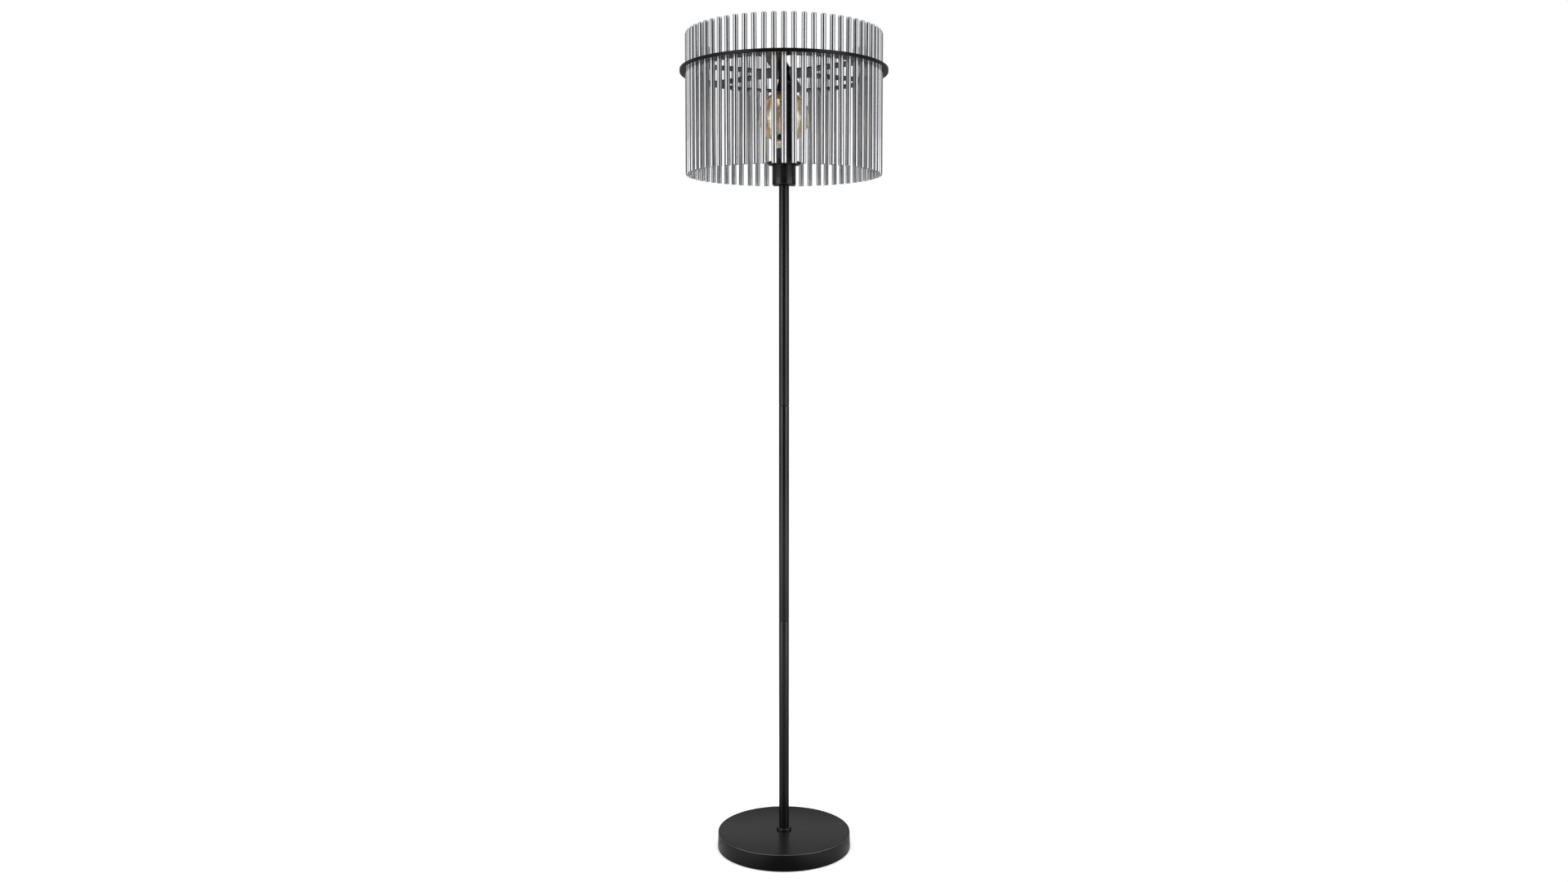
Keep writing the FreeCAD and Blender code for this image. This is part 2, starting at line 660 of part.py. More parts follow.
def harp():
    """Flat strip bent into a loop that stands in front of and behind the bulb, with an eye at its foot."""
    thickness = size("harp_thickness")
    side = size("harp_leg_offset") + thickness / 2.0
    knee = levels.carrier_bottom - size("harp_knee_drop")
    top_half = size("harp_top_half_length")
    corners = [
        FreeCAD.Vector(0, -side, levels.cup_top),
        FreeCAD.Vector(0, side, levels.cup_top),
        FreeCAD.Vector(0, side, knee),
        FreeCAD.Vector(0, top_half, levels.carrier_bottom),
        FreeCAD.Vector(0, -top_half, levels.carrier_bottom),
        FreeCAD.Vector(0, -side, knee),
    ]
    outer = Part.Face(rounded_loop(corners, size("harp_bend_radius")))
    inner = outer.makeOffset2D(-thickness)
    width = size("harp_strip_width")
    strip = outer.cut(inner).extrude(FreeCAD.Vector(width, 0, 0))
    strip.translate(FreeCAD.Vector(-width / 2.0, 0, 0))
    foot = FreeCAD.Vector(0, 0, levels.cup_top)
    eye = Part.makeCylinder(size("harp_eye_diameter") / 2.0, thickness, foot)
    eye_hole = Part.makeCylinder(levels.eye_hole_radius, thickness, foot)
    hub_place = FreeCAD.Vector(0, 0, levels.harp_inner_top)
    hub_hole = Part.makeCylinder(levels.hub_hole_radius, thickness, hub_place)
    loop = strip.fuse(eye).cut(eye_hole).cut(hub_hole).removeSplitter()
    node = doc.addObject("Part::Feature", "harp")
    node.Shape = loop.Solids[0]
    node.Label = "harp"
    node.Placement = FreeCAD.Placement(
        FreeCAD.Vector(), FreeCAD.Rotation(FreeCAD.Vector(0, 0, 1), size("harp_turn")))
    return node


def upright_edges(shape, nearest, farthest):
    """Straight upright edges whose distance from the axis lies between two limits."""
    found = []
    for edge in shape.Edges:
        first = edge.Vertexes[0].Point
        last = edge.Vertexes[-1].Point
        distance = math.hypot(first.x, first.y)
        upright = math.hypot(first.x - last.x, first.y - last.y) < TOLERANCE
        if upright and nearest - TOLERANCE < distance < farthest + TOLERANCE:
            found.append(edge)
    return found


def arm_window():
    """Cutter for the window between the first two arms, with its corners rounded."""
    reach = levels.ring_inner_radius
    half_step = math.pi / size("arm_count")
    apex = (size("arm_width") / 2.0) / math.sin(half_step)
    corner = FreeCAD.Vector(apex, 0, levels.carrier_bottom)
    way = 2.0 * reach
    points = [
        corner,
        corner + FreeCAD.Vector(way * math.cos(half_step), -way * math.sin(half_step), 0),
        corner + FreeCAD.Vector(way * math.cos(half_step), way * math.sin(half_step), 0),
    ]
    wedge = Part.Face(Part.makePolygon(points + [corner]))
    wedge = wedge.extrude(FreeCAD.Vector(0, 0, size("carrier_thickness")))
    disc = Part.makeCylinder(reach, size("carrier_thickness"), FreeCAD.Vector(0, 0, levels.carrier_bottom))
    window = wedge.common(disc)
    window = window.makeFillet(size("arm_root_radius"), upright_edges(window, 0.0, apex))
    return window.makeFillet(size("arm_end_radius"), upright_edges(window, reach, reach))


def shade_carrier():
    """Ring with an upturned lip, six arms and a hub, pressed from one sheet."""
    blank = turned("carrier_blank", (
        ("Levels.hub_hole_radius", "Levels.carrier_bottom"),
        ("Levels.ring_outer_radius", "Levels.carrier_bottom", "Sizes.lip_bend_radius"),
        ("Levels.ring_outer_radius", "Levels.lip_top"),
        ("Levels.lip_inner_radius", "Levels.lip_top"),
        ("Levels.lip_inner_radius", "Levels.carrier_top"),
        ("Levels.hub_hole_radius", "Levels.carrier_top"),
    ))
    window = arm_window()
    windows = []
    count = int(size("arm_count"))
    for number in range(count):
        windows.append(moved(window, turn=FRONT + size("arm_turn") + FULL_TURN * (number + 0.5) / count))
    holes = []
    rods = int(size("rod_count"))
    for number in range(rods):
        angle = math.radians(FRONT + FULL_TURN * number / rods)
        centre = FreeCAD.Vector(
            levels.rod_circle_radius * math.cos(angle),
            levels.rod_circle_radius * math.sin(angle),
            levels.carrier_bottom)
        holes.append(Part.makeCylinder(levels.rod_hole_radius, size("carrier_thickness"), centre))
    with_windows = cut("carrier_with_windows", blank, group("carrier_windows", windows))
    return cut("shade_carrier", with_windows, group("carrier_rod_holes", holes))


def hub_fasteners():
    screw_blank = turned("hub_screw_blank", (
        ("0", "Levels.hub_screw_bottom"),
        ("Sizes.hub_screw_diameter / 2", "Levels.hub_screw_bottom"),
        ("Sizes.hub_screw_diameter / 2", "Levels.hub_washer_top"),
        ("Sizes.hub_head_diameter / 2", "Levels.hub_washer_top"),
        ("Sizes.hub_head_diameter / 2", "Levels.hub_head_top", "Sizes.hub_head_radius"),
        ("0", "Levels.hub_head_top"),
    ))
    socket = hexagon_prism("hub_socket", "Sizes.hub_socket_width", "Sizes.hub_socket_depth",
                           "Levels.hub_head_top - Sizes.hub_socket_depth")
    screw = cut("hub_screw", screw_blank, socket)
    washer = turned("hub_washer", tube_outline(
        "Levels.hub_hole_radius", "Sizes.hub_washer_diameter / 2",
        "Levels.carrier_top", "Levels.hub_washer_top"))
    nut = hexagon_nut("hub_nut", "Sizes.hub_nut_across_flats", "Sizes.hub_nut_height",
                      "Levels.hub_nut_bottom", "Levels.hub_hole_radius")
    return [screw, washer, nut]


def rod_places():
    """Angle of each rod, counted from the front, with the side of the cage that it belongs to."""
    count = int(size("rod_count"))
    places = []
    for number in range(count):
        side = int(len(SECTORS) * number / count + 0.5) % len(SECTORS)
        places.append((FRONT + FULL_TURN * number / count, SECTORS[side]))
    return places


def cage():
    """Rods by side of the cage, and the clips that hold them up on the ring."""
    radius = "Levels.rod_radius"
    rod = turned("rod_pattern", (
        ("0", "Levels.rod_bottom"),
        (radius, "Levels.rod_bottom", "Sizes.rod_end_radius"),
        (radius, "Levels.groove_bottom"),
        ("Levels.groove_radius", "Levels.groove_bottom"),
        ("Levels.groove_radius", "Levels.clip_top"),
        (radius, "Levels.clip_top"),
        (radius, "Levels.rod_top", "Sizes.rod_end_radius"),
        ("0", "Levels.rod_top"),
    ))
    clip_ring = turned("clip_ring", tube_outline(
        "Levels.clip_inner_radius", "Sizes.clip_outer_diameter / 2", "Levels.carrier_top", "Levels.clip_top"))
    mouth = doc.addObject("Part::Box", "clip_mouth")
    mouth.setExpression("Length", "Sizes.clip_outer_diameter")
    mouth.setExpression("Width", "Sizes.clip_mouth_width")
    mouth.setExpression("Height", "Sizes.clip_thickness")
    mouth.setExpression("Placement.Base.y", "-Sizes.clip_mouth_width / 2")
    mouth.setExpression("Placement.Base.z", "Levels.carrier_top")
    clip = cut("clip_pattern", clip_ring, mouth)
    doc.recompute()
    outward = FreeCAD.Vector(levels.rod_circle_radius, 0, 0)
    rod_shape = rod.Shape.copy()
    rod_shape.translate(outward)
    clip_shape = clip.Shape.Solids[0].copy()
    clip_shape.translate(outward)
    by_side = {side: [] for side in SECTORS}
    clips = []
    for angle, side in rod_places():
        by_side[side].append(moved(rod_shape, turn=angle))
        clips.append(moved(clip_shape, turn=angle))
    nodes = [group("rods_" + side, by_side[side]) for side in SECTORS]
    nodes.append(group("rod_clips", clips))
    return nodes


def bulb_outline(inset):
    """Edges of the glass from the spigot's foot to the top of the globe, moved inwards by inset."""
    centre = levels.bulb_centre
    globe = size("bulb_diameter") / 2.0
    neck = size("bulb_neck_diameter") / 2.0
    bend = size("bulb_neck_bend")
    spigot = levels.spigot_radius
    shoulder = neck - spigot
    seat = levels.bulb_seat + size("body_gap")
    bend_height = centre - math.sqrt((globe + bend) ** 2 - (neck + bend) ** 2)
    bend_centre = FreeCAD.Vector(neck + bend, 0, bend_height)
    globe_centre = FreeCAD.Vector(0, 0, centre)
    to_bend = (bend_centre - globe_centre).normalize()
    shoulder_centre = FreeCAD.Vector(spigot, 0, seat + shoulder)
    slant = FreeCAD.Vector(math.sqrt(0.5), 0, -math.sqrt(0.5))
    foot = FreeCAD.Vector(spigot - inset, 0, levels.spigot_bottom)
    spigot_top = FreeCAD.Vector(spigot - inset, 0, seat)
    shoulder_start = FreeCAD.Vector(spigot, 0, seat + inset)
    shoulder_middle = shoulder_centre + slant * (shoulder - inset)
    neck_start = FreeCAD.Vector(neck - inset, 0, seat + shoulder)
    neck_end = FreeCAD.Vector(neck - inset, 0, bend_height)
    globe_start = globe_centre + to_bend * (globe - inset)
    bend_half = (globe_start - bend_centre).normalize() + FreeCAD.Vector(-1, 0, 0)
    bend_middle = bend_centre + bend_half.normalize() * (bend + inset)
    side = FreeCAD.Vector(globe - inset, 0, centre)
    top = FreeCAD.Vector(0, 0, centre + globe - inset)
    edges = []
    if inset > 0.0:
        corner = FreeCAD.Vector(spigot - inset, 0, seat + inset)
        edges.append(Part.LineSegment(foot, corner))
        edges.append(Part.LineSegment(corner, shoulder_start))
    else:
        edges.append(Part.LineSegment(foot, spigot_top))
    edges.append(Part.Arc(shoulder_start, shoulder_middle, neck_start))
    edges.append(Part.LineSegment(neck_start, neck_end))
    edges.append(Part.Arc(neck_end, bend_middle, globe_start))
    edges.append(Part.Arc(globe_start, side, top))
    return [edge.toShape() for edge in edges], foot, top


def bulb_glass():
    wall = size("bulb_wall")
    outer, outer_foot, outer_top = bulb_outline(0.0)
    inner, inner_foot, inner_top = bulb_outline(wall)
    closing = [
        Part.LineSegment(inner_foot, outer_foot).toShape(),
        Part.LineSegment(outer_top, inner_top).toShape(),
    ]
    wire = Part.Wire(Part.__sortEdges__(outer + inner + closing))
    node = doc.addObject("Part::Feature", "bulb_glass")
    node.Shape = Part.Face(wire).revolve(FreeCAD.Vector(), FreeCAD.Vector(0, 0, 1), FULL_TURN)
    node.Label = "bulb_glass"
    return node


def bulb_cap():
    """Screw cap, insulator and end contact."""
    cap = turned("bulb_cap", tube_outline(
        "Levels.cap_inner_radius", "Levels.cap_radius", "Levels.cap_bottom", "Levels.bulb_seat"))
    insulator = turned("bulb_insulator", (
        ("0", "Levels.insulator_bottom"),
        ("Levels.cap_contact_radius", "Levels.insulator_bottom"),
        ("Levels.cap_radius", "Levels.cap_bottom"),
        ("0", "Levels.cap_bottom"),
    ))
    contact = turned("bulb_contact", (
        ("0", "Levels.cap_contact_bottom"),
        ("Levels.cap_contact_radius - Sizes.cap_contact_height", "Levels.cap_contact_bottom"),
        ("Levels.cap_contact_radius", "Levels.insulator_bottom"),
        ("0", "Levels.insulator_bottom"),
    ))
    return [cap, insulator, contact]


def bulb_inside():
    """Glass stem with its post, the wires that carry the filaments, and the filaments."""
    stem = turned("bulb_stem", (
        ("0", "Levels.spigot_bottom"),
        ("Levels.spigot_radius - Sizes.bulb_wall - Sizes.fit_clearance", "Levels.spigot_bottom"),
        ("Sizes.stem_diameter / 2", "Levels.stem_foot_top"),
        ("Sizes.stem_diameter / 2", "Levels.stem_top"),
        ("Sizes.post_diameter / 2", "Levels.stem_top"),
        ("Sizes.post_diameter / 2", "Levels.post_top"),
        ("0", "Levels.post_top"),
    ))
    count = int(size("filament_count"))
    circle = size("filament_circle_diameter") / 2.0
    wire_radius = size("wire_diameter") / 2.0
    post_radius = size("post_diameter") / 2.0
    filament = Part.makeCylinder(
        size("filament_diameter") / 2.0, size("filament_length"),
        FreeCAD.Vector(circle, 0, levels.filament_bottom))
    reach = circle + size("filament_diameter") / 2.0 - post_radius
    lower_height = levels.filament_bottom - wire_radius
    upper_height = levels.filament_top + wire_radius
    wires = []
    filaments = []
    for number in range(count):
        turn = FULL_TURN * number / count
        filaments.append(moved(filament, turn=turn))
        for height in (lower_height, upper_height):
            spoke = Part.makeCylinder(
                wire_radius, reach, FreeCAD.Vector(post_radius, 0, height), FreeCAD.Vector(1, 0, 0))
            wires.append(moved(spoke, turn=turn))
    return [stem, group("bulb_wires", wires), group("bulb_filaments", filaments)]


def build():
    """All sub-parts of the lamp, in order from the floor up."""
    nodes = [base_cover(), base_weight(), base_pad(), cord_gland()]
    nodes += base_fasteners()
    nodes.append(foot_collar())
    nodes.append(pole_section("pole_lower", 0))
    nodes.append(pole_section("pole_middle", 1))
    nodes.append(pole_section("pole_upper", 2))
    nodes += pole_fittings()
    nodes.append(socket_cup())
    nodes += cup_fasteners()
    nodes += lampholder()
    nodes += [shade_ring(), harp(), shade_carrier()]
    nodes += hub_fasteners()
    nodes += cage()
    nodes.append(bulb_glass())
    nodes += bulb_cap()
    nodes += bulb_inside()
    return nodes


def check(nodes):
    """Stop on any object that failed or any sub-part without a valid solid."""
    doc.recompute()
    for item in doc.Objects:
        if "Invalid" in item.State or "Error" in item.State:
            raise RuntimeError("failed: " + item.Name)
    for node in nodes:
        if node.Shape.isNull() or not node.Shape.isValid() or not node.Shape.Solids:
            raise RuntimeError("no valid solid: " + node.Label)


lamp = build()
check(lamp)
for node in lamp:
    node.Shape.exportStep("parts/%s.step" % node.Label)
    print("%-20s solids %3d volume %12.1f" % (node.Label, len(node.Shape.Solids), node.Shape.Volume))
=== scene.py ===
import math

import bmesh
import bpy
from bpy.props import FloatProperty, FloatVectorProperty, IntProperty, PointerProperty
from bpy.types import Operator, Panel, PropertyGroup
from mathutils import Matrix, Vector


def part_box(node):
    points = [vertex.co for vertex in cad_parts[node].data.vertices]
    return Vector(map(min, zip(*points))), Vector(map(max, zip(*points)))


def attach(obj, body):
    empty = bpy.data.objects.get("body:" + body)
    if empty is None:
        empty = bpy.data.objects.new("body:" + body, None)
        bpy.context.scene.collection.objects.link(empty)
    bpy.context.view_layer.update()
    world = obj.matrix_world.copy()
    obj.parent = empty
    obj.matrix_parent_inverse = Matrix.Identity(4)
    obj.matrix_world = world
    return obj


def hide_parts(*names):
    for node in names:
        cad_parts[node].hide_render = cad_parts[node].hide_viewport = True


bl_info = {
    "name": "Rod Cage Floor Lamp",
    "version": (1, 0, 0),
    "blender": (4, 5, 0),
    "location": "View3D > Sidebar > Lamp",
    "description": "Dresses the packed floor lamp with finishes, glass, chrome rods and a studio stage",
    "category": "Object",
}

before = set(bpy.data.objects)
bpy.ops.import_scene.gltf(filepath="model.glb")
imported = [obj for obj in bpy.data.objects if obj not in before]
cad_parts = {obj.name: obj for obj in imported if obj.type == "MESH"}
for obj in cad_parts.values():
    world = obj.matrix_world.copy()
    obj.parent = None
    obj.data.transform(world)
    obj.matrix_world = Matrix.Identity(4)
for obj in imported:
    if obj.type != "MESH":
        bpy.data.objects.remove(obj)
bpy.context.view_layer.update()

MM = 0.001
SIDES = ("front", "front_right", "right", "back_right", "back", "back_left", "left", "front_left")
FRONT = math.radians(-90.0)
LATHE_STEPS = 160
SMALL_LATHE_STEPS = 64
ROD_STEPS = 40
SHARP_ANGLE = math.radians(38.0)
AXIS_GAP = 1e-7
SAME_POINT = 1e-6
PHOTO_WIDTH = 1920.0
WHITE = (1.0, 1.0, 1.0, 1.0)
CARD_DISTANCE = 3.2
CARD_HEIGHT = 4.2
SCREEN_TOP = 1.6
BRIGHTEST = 3.0


# Reading the frame

def radius_of(node):
    """Outer radius of a node that stands on the lamp's axis."""
    low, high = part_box(node)
    return (high.x - low.x) / 2.0


def bottom_of(node):
    """Lowest height of a node."""
    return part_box(node)[0].z


def top_of(node):
    """Highest height of a node."""
    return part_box(node)[1].z


def extent_of(node):
    """Outer radius, bottom and top of a node that stands on the lamp's axis."""
    return radius_of(node), bottom_of(node), top_of(node)


# Settings

class LampBaseSettings(PropertyGroup):
    """Sizes of the base"""
    cover_wall: FloatProperty(
        name="Cover wall", description="Sheet thickness of the base cover", default=1.5 * MM, unit="LENGTH")
    edge_radius: FloatProperty(
        name="Edge radius", description="Rounding of the cover's top edge", default=2.2 * MM, unit="LENGTH")
    top_inset: FloatProperty(
        name="Top inset", description="How much narrower the cover's top is than its foot, on each side",
        default=1.0 * MM, unit="LENGTH")
    pad_edge: FloatProperty(
        name="Pad edge", description="Rounding of the foam pad's lower edge", default=0.8 * MM,
        unit="LENGTH")


class LampPoleSettings(PropertyGroup):
    """Sizes of the pole and the socket cup"""
    wall: FloatProperty(
        name="Tube wall", description="Wall of the pole's tubes", default=1.2 * MM, unit="LENGTH")
    seam_depth: FloatProperty(
        name="Seam depth", description="How deep the top end of a tube is cut back to the shadow gap",
        default=1.0 * MM, unit="LENGTH")
    seam_height: FloatProperty(
        name="Seam height", description="Height of the shadow gap at a joint of the pole",
        default=1.1 * MM, unit="LENGTH")
    cup_wall: FloatProperty(
        name="Cup wall", description="Wall of the socket cup", default=1.2 * MM, unit="LENGTH")
    cup_edge: FloatProperty(
        name="Cup edge", description="Rounding of the cup's lower edge", default=2.4 * MM, unit="LENGTH")


class LampRodSettings(PropertyGroup):
    """Number, sizes and tint of the rods"""
    count: IntProperty(name="Rods", description="Rods in the whole cage", default=64, min=8)
    diameter: FloatProperty(
        name="Rod diameter", description="Thickness of a rod", default=9.5 * MM, unit="LENGTH")
    end_radius: FloatProperty(
        name="Top radius", description="Rounding of the rods' upper ends", default=2.0 * MM, unit="LENGTH")
    foot_radius: FloatProperty(
        name="Foot radius", description="Rounding of the rods' lower ends", default=0.7 * MM, unit="LENGTH")
    swing: FloatProperty(
        name="Swing", description="How far a rod may hang off the upright", default=math.radians(0.3),
        subtype="ANGLE")
    groove_depth: FloatProperty(
        name="Groove depth", description="Depth of the groove that the clip sits in", default=0.5 * MM,
        unit="LENGTH")
    colour: FloatVectorProperty(
        name="Chrome", description="Tint of the mirror finish", default=(0.72, 0.73, 0.76), subtype="COLOR")


class LampBulbSettings(PropertyGroup):
    """Sizes and colours of the bulb"""
    wall: FloatProperty(
        name="Glass wall", description="Thickness of the glass", default=0.8 * MM, unit="LENGTH")
    neck_diameter: FloatProperty(
        name="Neck", description="Diameter of the neck above the cap", default=32.0 * MM, unit="LENGTH")
    neck_bend: FloatProperty(
        name="Neck bend", description="Radius of the sweep from neck to globe", default=12.0 * MM,
        unit="LENGTH")
    thread_pitch: FloatProperty(
        name="Thread pitch", description="Rise of the screw cap's thread in one turn", default=3.6 * MM,
        unit="LENGTH")
    thread_depth: FloatProperty(
        name="Thread depth", description="Depth of the screw cap's thread", default=0.9 * MM, unit="LENGTH")
    tint: FloatVectorProperty(
        name="Glass tint", description="Colour that the glass lets through", default=(0.86, 0.66, 0.36),
        subtype="COLOR")
    glow: FloatVectorProperty(
        name="Filament", description="Colour of the filaments", default=(0.8, 0.36, 0.12), subtype="COLOR")


class LampFinishSettings(PropertyGroup):
    """Colour, sheen and grain of the black coat"""
    black: FloatVectorProperty(
        name="Powder coat", description="Colour of the satin black coat", default=(0.0045, 0.0045, 0.0048),
        subtype="COLOR")
    roughness: FloatProperty(
        name="Roughness", description="Mean roughness of the satin black coat", default=0.24, min=0.0,
        max=1.0, subtype="FACTOR")
    grain: FloatProperty(
        name="Grain", description="Depth of the coat's fine texture", default=0.0015 * MM, unit="LENGTH")


class LampStageSettings(PropertyGroup):
    """Camera, even light and floor"""
    eye_distance: FloatProperty(
        name="Eye distance", description="Distance of the camera from the pole", default=2.492,
        unit="LENGTH")
    eye_height: FloatProperty(
        name="Eye height", description="Height of the camera above the floor", default=0.987, unit="LENGTH")
    eye_pitch: FloatProperty(
        name="Eye pitch", description="How far the camera looks down", default=math.radians(4.571),
        subtype="ANGLE")
    focal_pixels: FloatProperty(
        name="Focal length", description="Focal length in pixels of a 1920 pixel wide image",
        default=1617.0)
    fill: FloatProperty(
        name="Fill light", description="Strength of the even light from all round", default=0.62, min=0.0)
    floor_colour: FloatVectorProperty(
        name="Floor", description="Colour of the pale floor", default=(0.86, 0.86, 0.86), subtype="COLOR")


# Mesh building

def softened(corners, steps=4):
    """Outline of (radius, height) points. A corner with a third value is rounded to that radius."""
    outline = []
    count = len(corners)
    for index, corner in enumerate(corners):
        here = Vector(corner[:2])
        if len(corner) == 2:
            outline.append(here)
            continue
        before = (Vector(corners[index - 1][:2]) - here).normalized()
        after = (Vector(corners[(index + 1) % count][:2]) - here).normalized()
        half = before.angle(after) / 2.0
        reach = corner[2] / math.tan(half)
        centre = here + (before + after).normalized() * (corner[2] / math.sin(half))
        start = here + before * reach - centre
        end = here + after * reach - centre
        first = math.atan2(start.y, start.x)
        sweep = math.atan2(end.y, end.x) - first
        sweep = (sweep + math.pi) % (2.0 * math.pi) - math.pi
        for step in range(steps + 1):
            angle = first + sweep * step / steps
            outline.append(centre + Vector((math.cos(angle), math.sin(angle))) * corner[2])
    return outline


def arc_points(centre, radius, first, last, steps):
    """Points of an arc in the (radius, height) plane, angles in radians."""
    points = []
    for step in range(steps + 1):
        angle = first + (last - first) * step / steps
        points.append(Vector((centre.x + radius * math.cos(angle), centre.y + radius * math.sin(angle))))
    return points


def lathe(outline, steps=LATHE_STEPS, ripple=None, centre=(0.0, 0.0)):
    """Closed outline revolved about an upright axis, as a bmesh.

    ripple(radius, height, angle) may give another radius, as on a thread.
    """
    made = bmesh.new()
    rings = []
    middle_x, middle_y = centre
    for step in range(steps):
        angle = 2.0 * math.pi * step / steps
        ring = []
        for radius, height in outline:
            reach = ripple(radius, height, angle) if ripple else radius
            place = (middle_x + reach * math.cos(angle), middle_y + reach * math.sin(angle), height)
            ring.append(made.verts.new(place))
        rings.append(ring)
    count = len(outline)
    for step in range(steps):
        ring = rings[step]
        neighbour = rings[(step + 1) % steps]
        for index in range(count):
            after = (index + 1) % count
            if outline[index][0] < AXIS_GAP and outline[after][0] < AXIS_GAP:
                continue
            made.faces.new((ring[index], neighbour[index], neighbour[after], ring[after]))
    on_axis = []
    for vert in made.verts:
        if math.hypot(vert.co.x - middle_x, vert.co.y - middle_y) < AXIS_GAP:
            on_axis.append(vert)
    bmesh.ops.remove_doubles(made, verts=on_axis, dist=AXIS_GAP)
    bmesh.ops.dissolve_degenerate(made, edges=made.edges, dist=AXIS_GAP)
    bmesh.ops.recalc_face_normals(made, faces=made.faces)
    return made


def wire_tube(points, radius, sides=10):
    """Round bar along a path, with closed ends, as a bmesh."""
    made = bmesh.new()
    rings = []
    path = [Vector(point) for point in points]
    side_way = None
    for index, point in enumerate(path):
        ahead = path[min(index + 1, len(path) - 1)] - path[max(index - 1, 0)]
        ahead.normalize()
        if side_way is None:
            side_way = ahead.orthogonal().normalized()
        side_way = (side_way - ahead * side_way.dot(ahead)).normalized()
        up_way = ahead.cross(side_way)
        ring = []
        for side in range(sides):
            angle = 2.0 * math.pi * side / sides
            spoke = side_way * math.cos(angle) + up_way * math.sin(angle)
            ring.append(made.verts.new(point + spoke * radius))
        rings.append(ring)
    for ring, neighbour in zip(rings, rings[1:]):
        for side in range(sides):
            after = (side + 1) % sides
            made.faces.new((ring[side], ring[after], neighbour[after], neighbour[side]))
    made.faces.new(list(reversed(rings[0])))
    made.faces.new(rings[-1])
    bmesh.ops.recalc_face_normals(made, faces=made.faces)
    return made


def gathered(parts):
    """One bmesh made of several (bmesh, matrix) pairs."""
    made = bmesh.new()
    for part, matrix in parts:
        copy = bpy.data.meshes.new("copy")
        part.to_mesh(copy)
        copy.transform(matrix)
        made.from_mesh(copy)
        bpy.data.meshes.remove(copy)
    return made


def piece(name, made, kind, body, replaced):
    """Object made from a bmesh, smooth but for its sharp edges, riding on a body in place of CAD nodes.

    kind is one of the finishes of finish_of.
    """
    mesh = bpy.data.meshes.new(name)
    made.to_mesh(mesh)
    made.free()
    mesh.shade_smooth()
    mesh.set_sharp_from_angle(angle=SHARP_ANGLE)
    shape = bpy.data.objects.new(name, mesh)
    bpy.context.scene.collection.objects.link(shape)
    mesh.materials.append(finish_of(kind))
    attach(shape, body)
    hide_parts(*replaced)
    return shape


def black_piece(name, made, node):
    """Satin black piece of the lamp's fixed body, in place of one CAD node."""
    return piece(name, made, "black", "lamp", [node])


def dress(kind, *nodes):
    """Gives CAD nodes their finish and smooth shading between their sharp edges."""
    for node in nodes:
        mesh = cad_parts[node].data
        mesh.materials.clear()
        mesh.materials.append(finish_of(kind))
        mesh.shade_smooth()
        mesh.set_sharp_from_angle(angle=SHARP_ANGLE)


# Materials

def shader_node(tree, kind, **values):
    """New shader node. The values go to the sockets of those names, with spaces for underscores."""
    made = tree.nodes.new("ShaderNode" + kind)
    for name, value in values.items():
        made.inputs[name.replace("_", " ")].default_value = value
    return made


def math_node(tree, operation, first, second=None):
    """Result of a calculation on a chain alone, or with a number or another chain."""
    made = shader_node(tree, "Math")
    made.operation = operation
    tree.links.new(first, made.inputs[0])
    if isinstance(second, float):
        made.inputs[1].default_value = second
    elif second is not None:
        tree.links.new(second, made.inputs[1])
    return made.outputs["Value"]


def split_of(tree, vector, axis):
    """One axis of a vector chain."""
    split = shader_node(tree, "SeparateXYZ")
    tree.links.new(vector, split.inputs["Vector"])
    return split.outputs[axis]


def bare_tree(owner):
    """Empty node tree of a material or world."""
    owner.use_nodes = True
    owner.node_tree.nodes.clear()
    return owner.node_tree


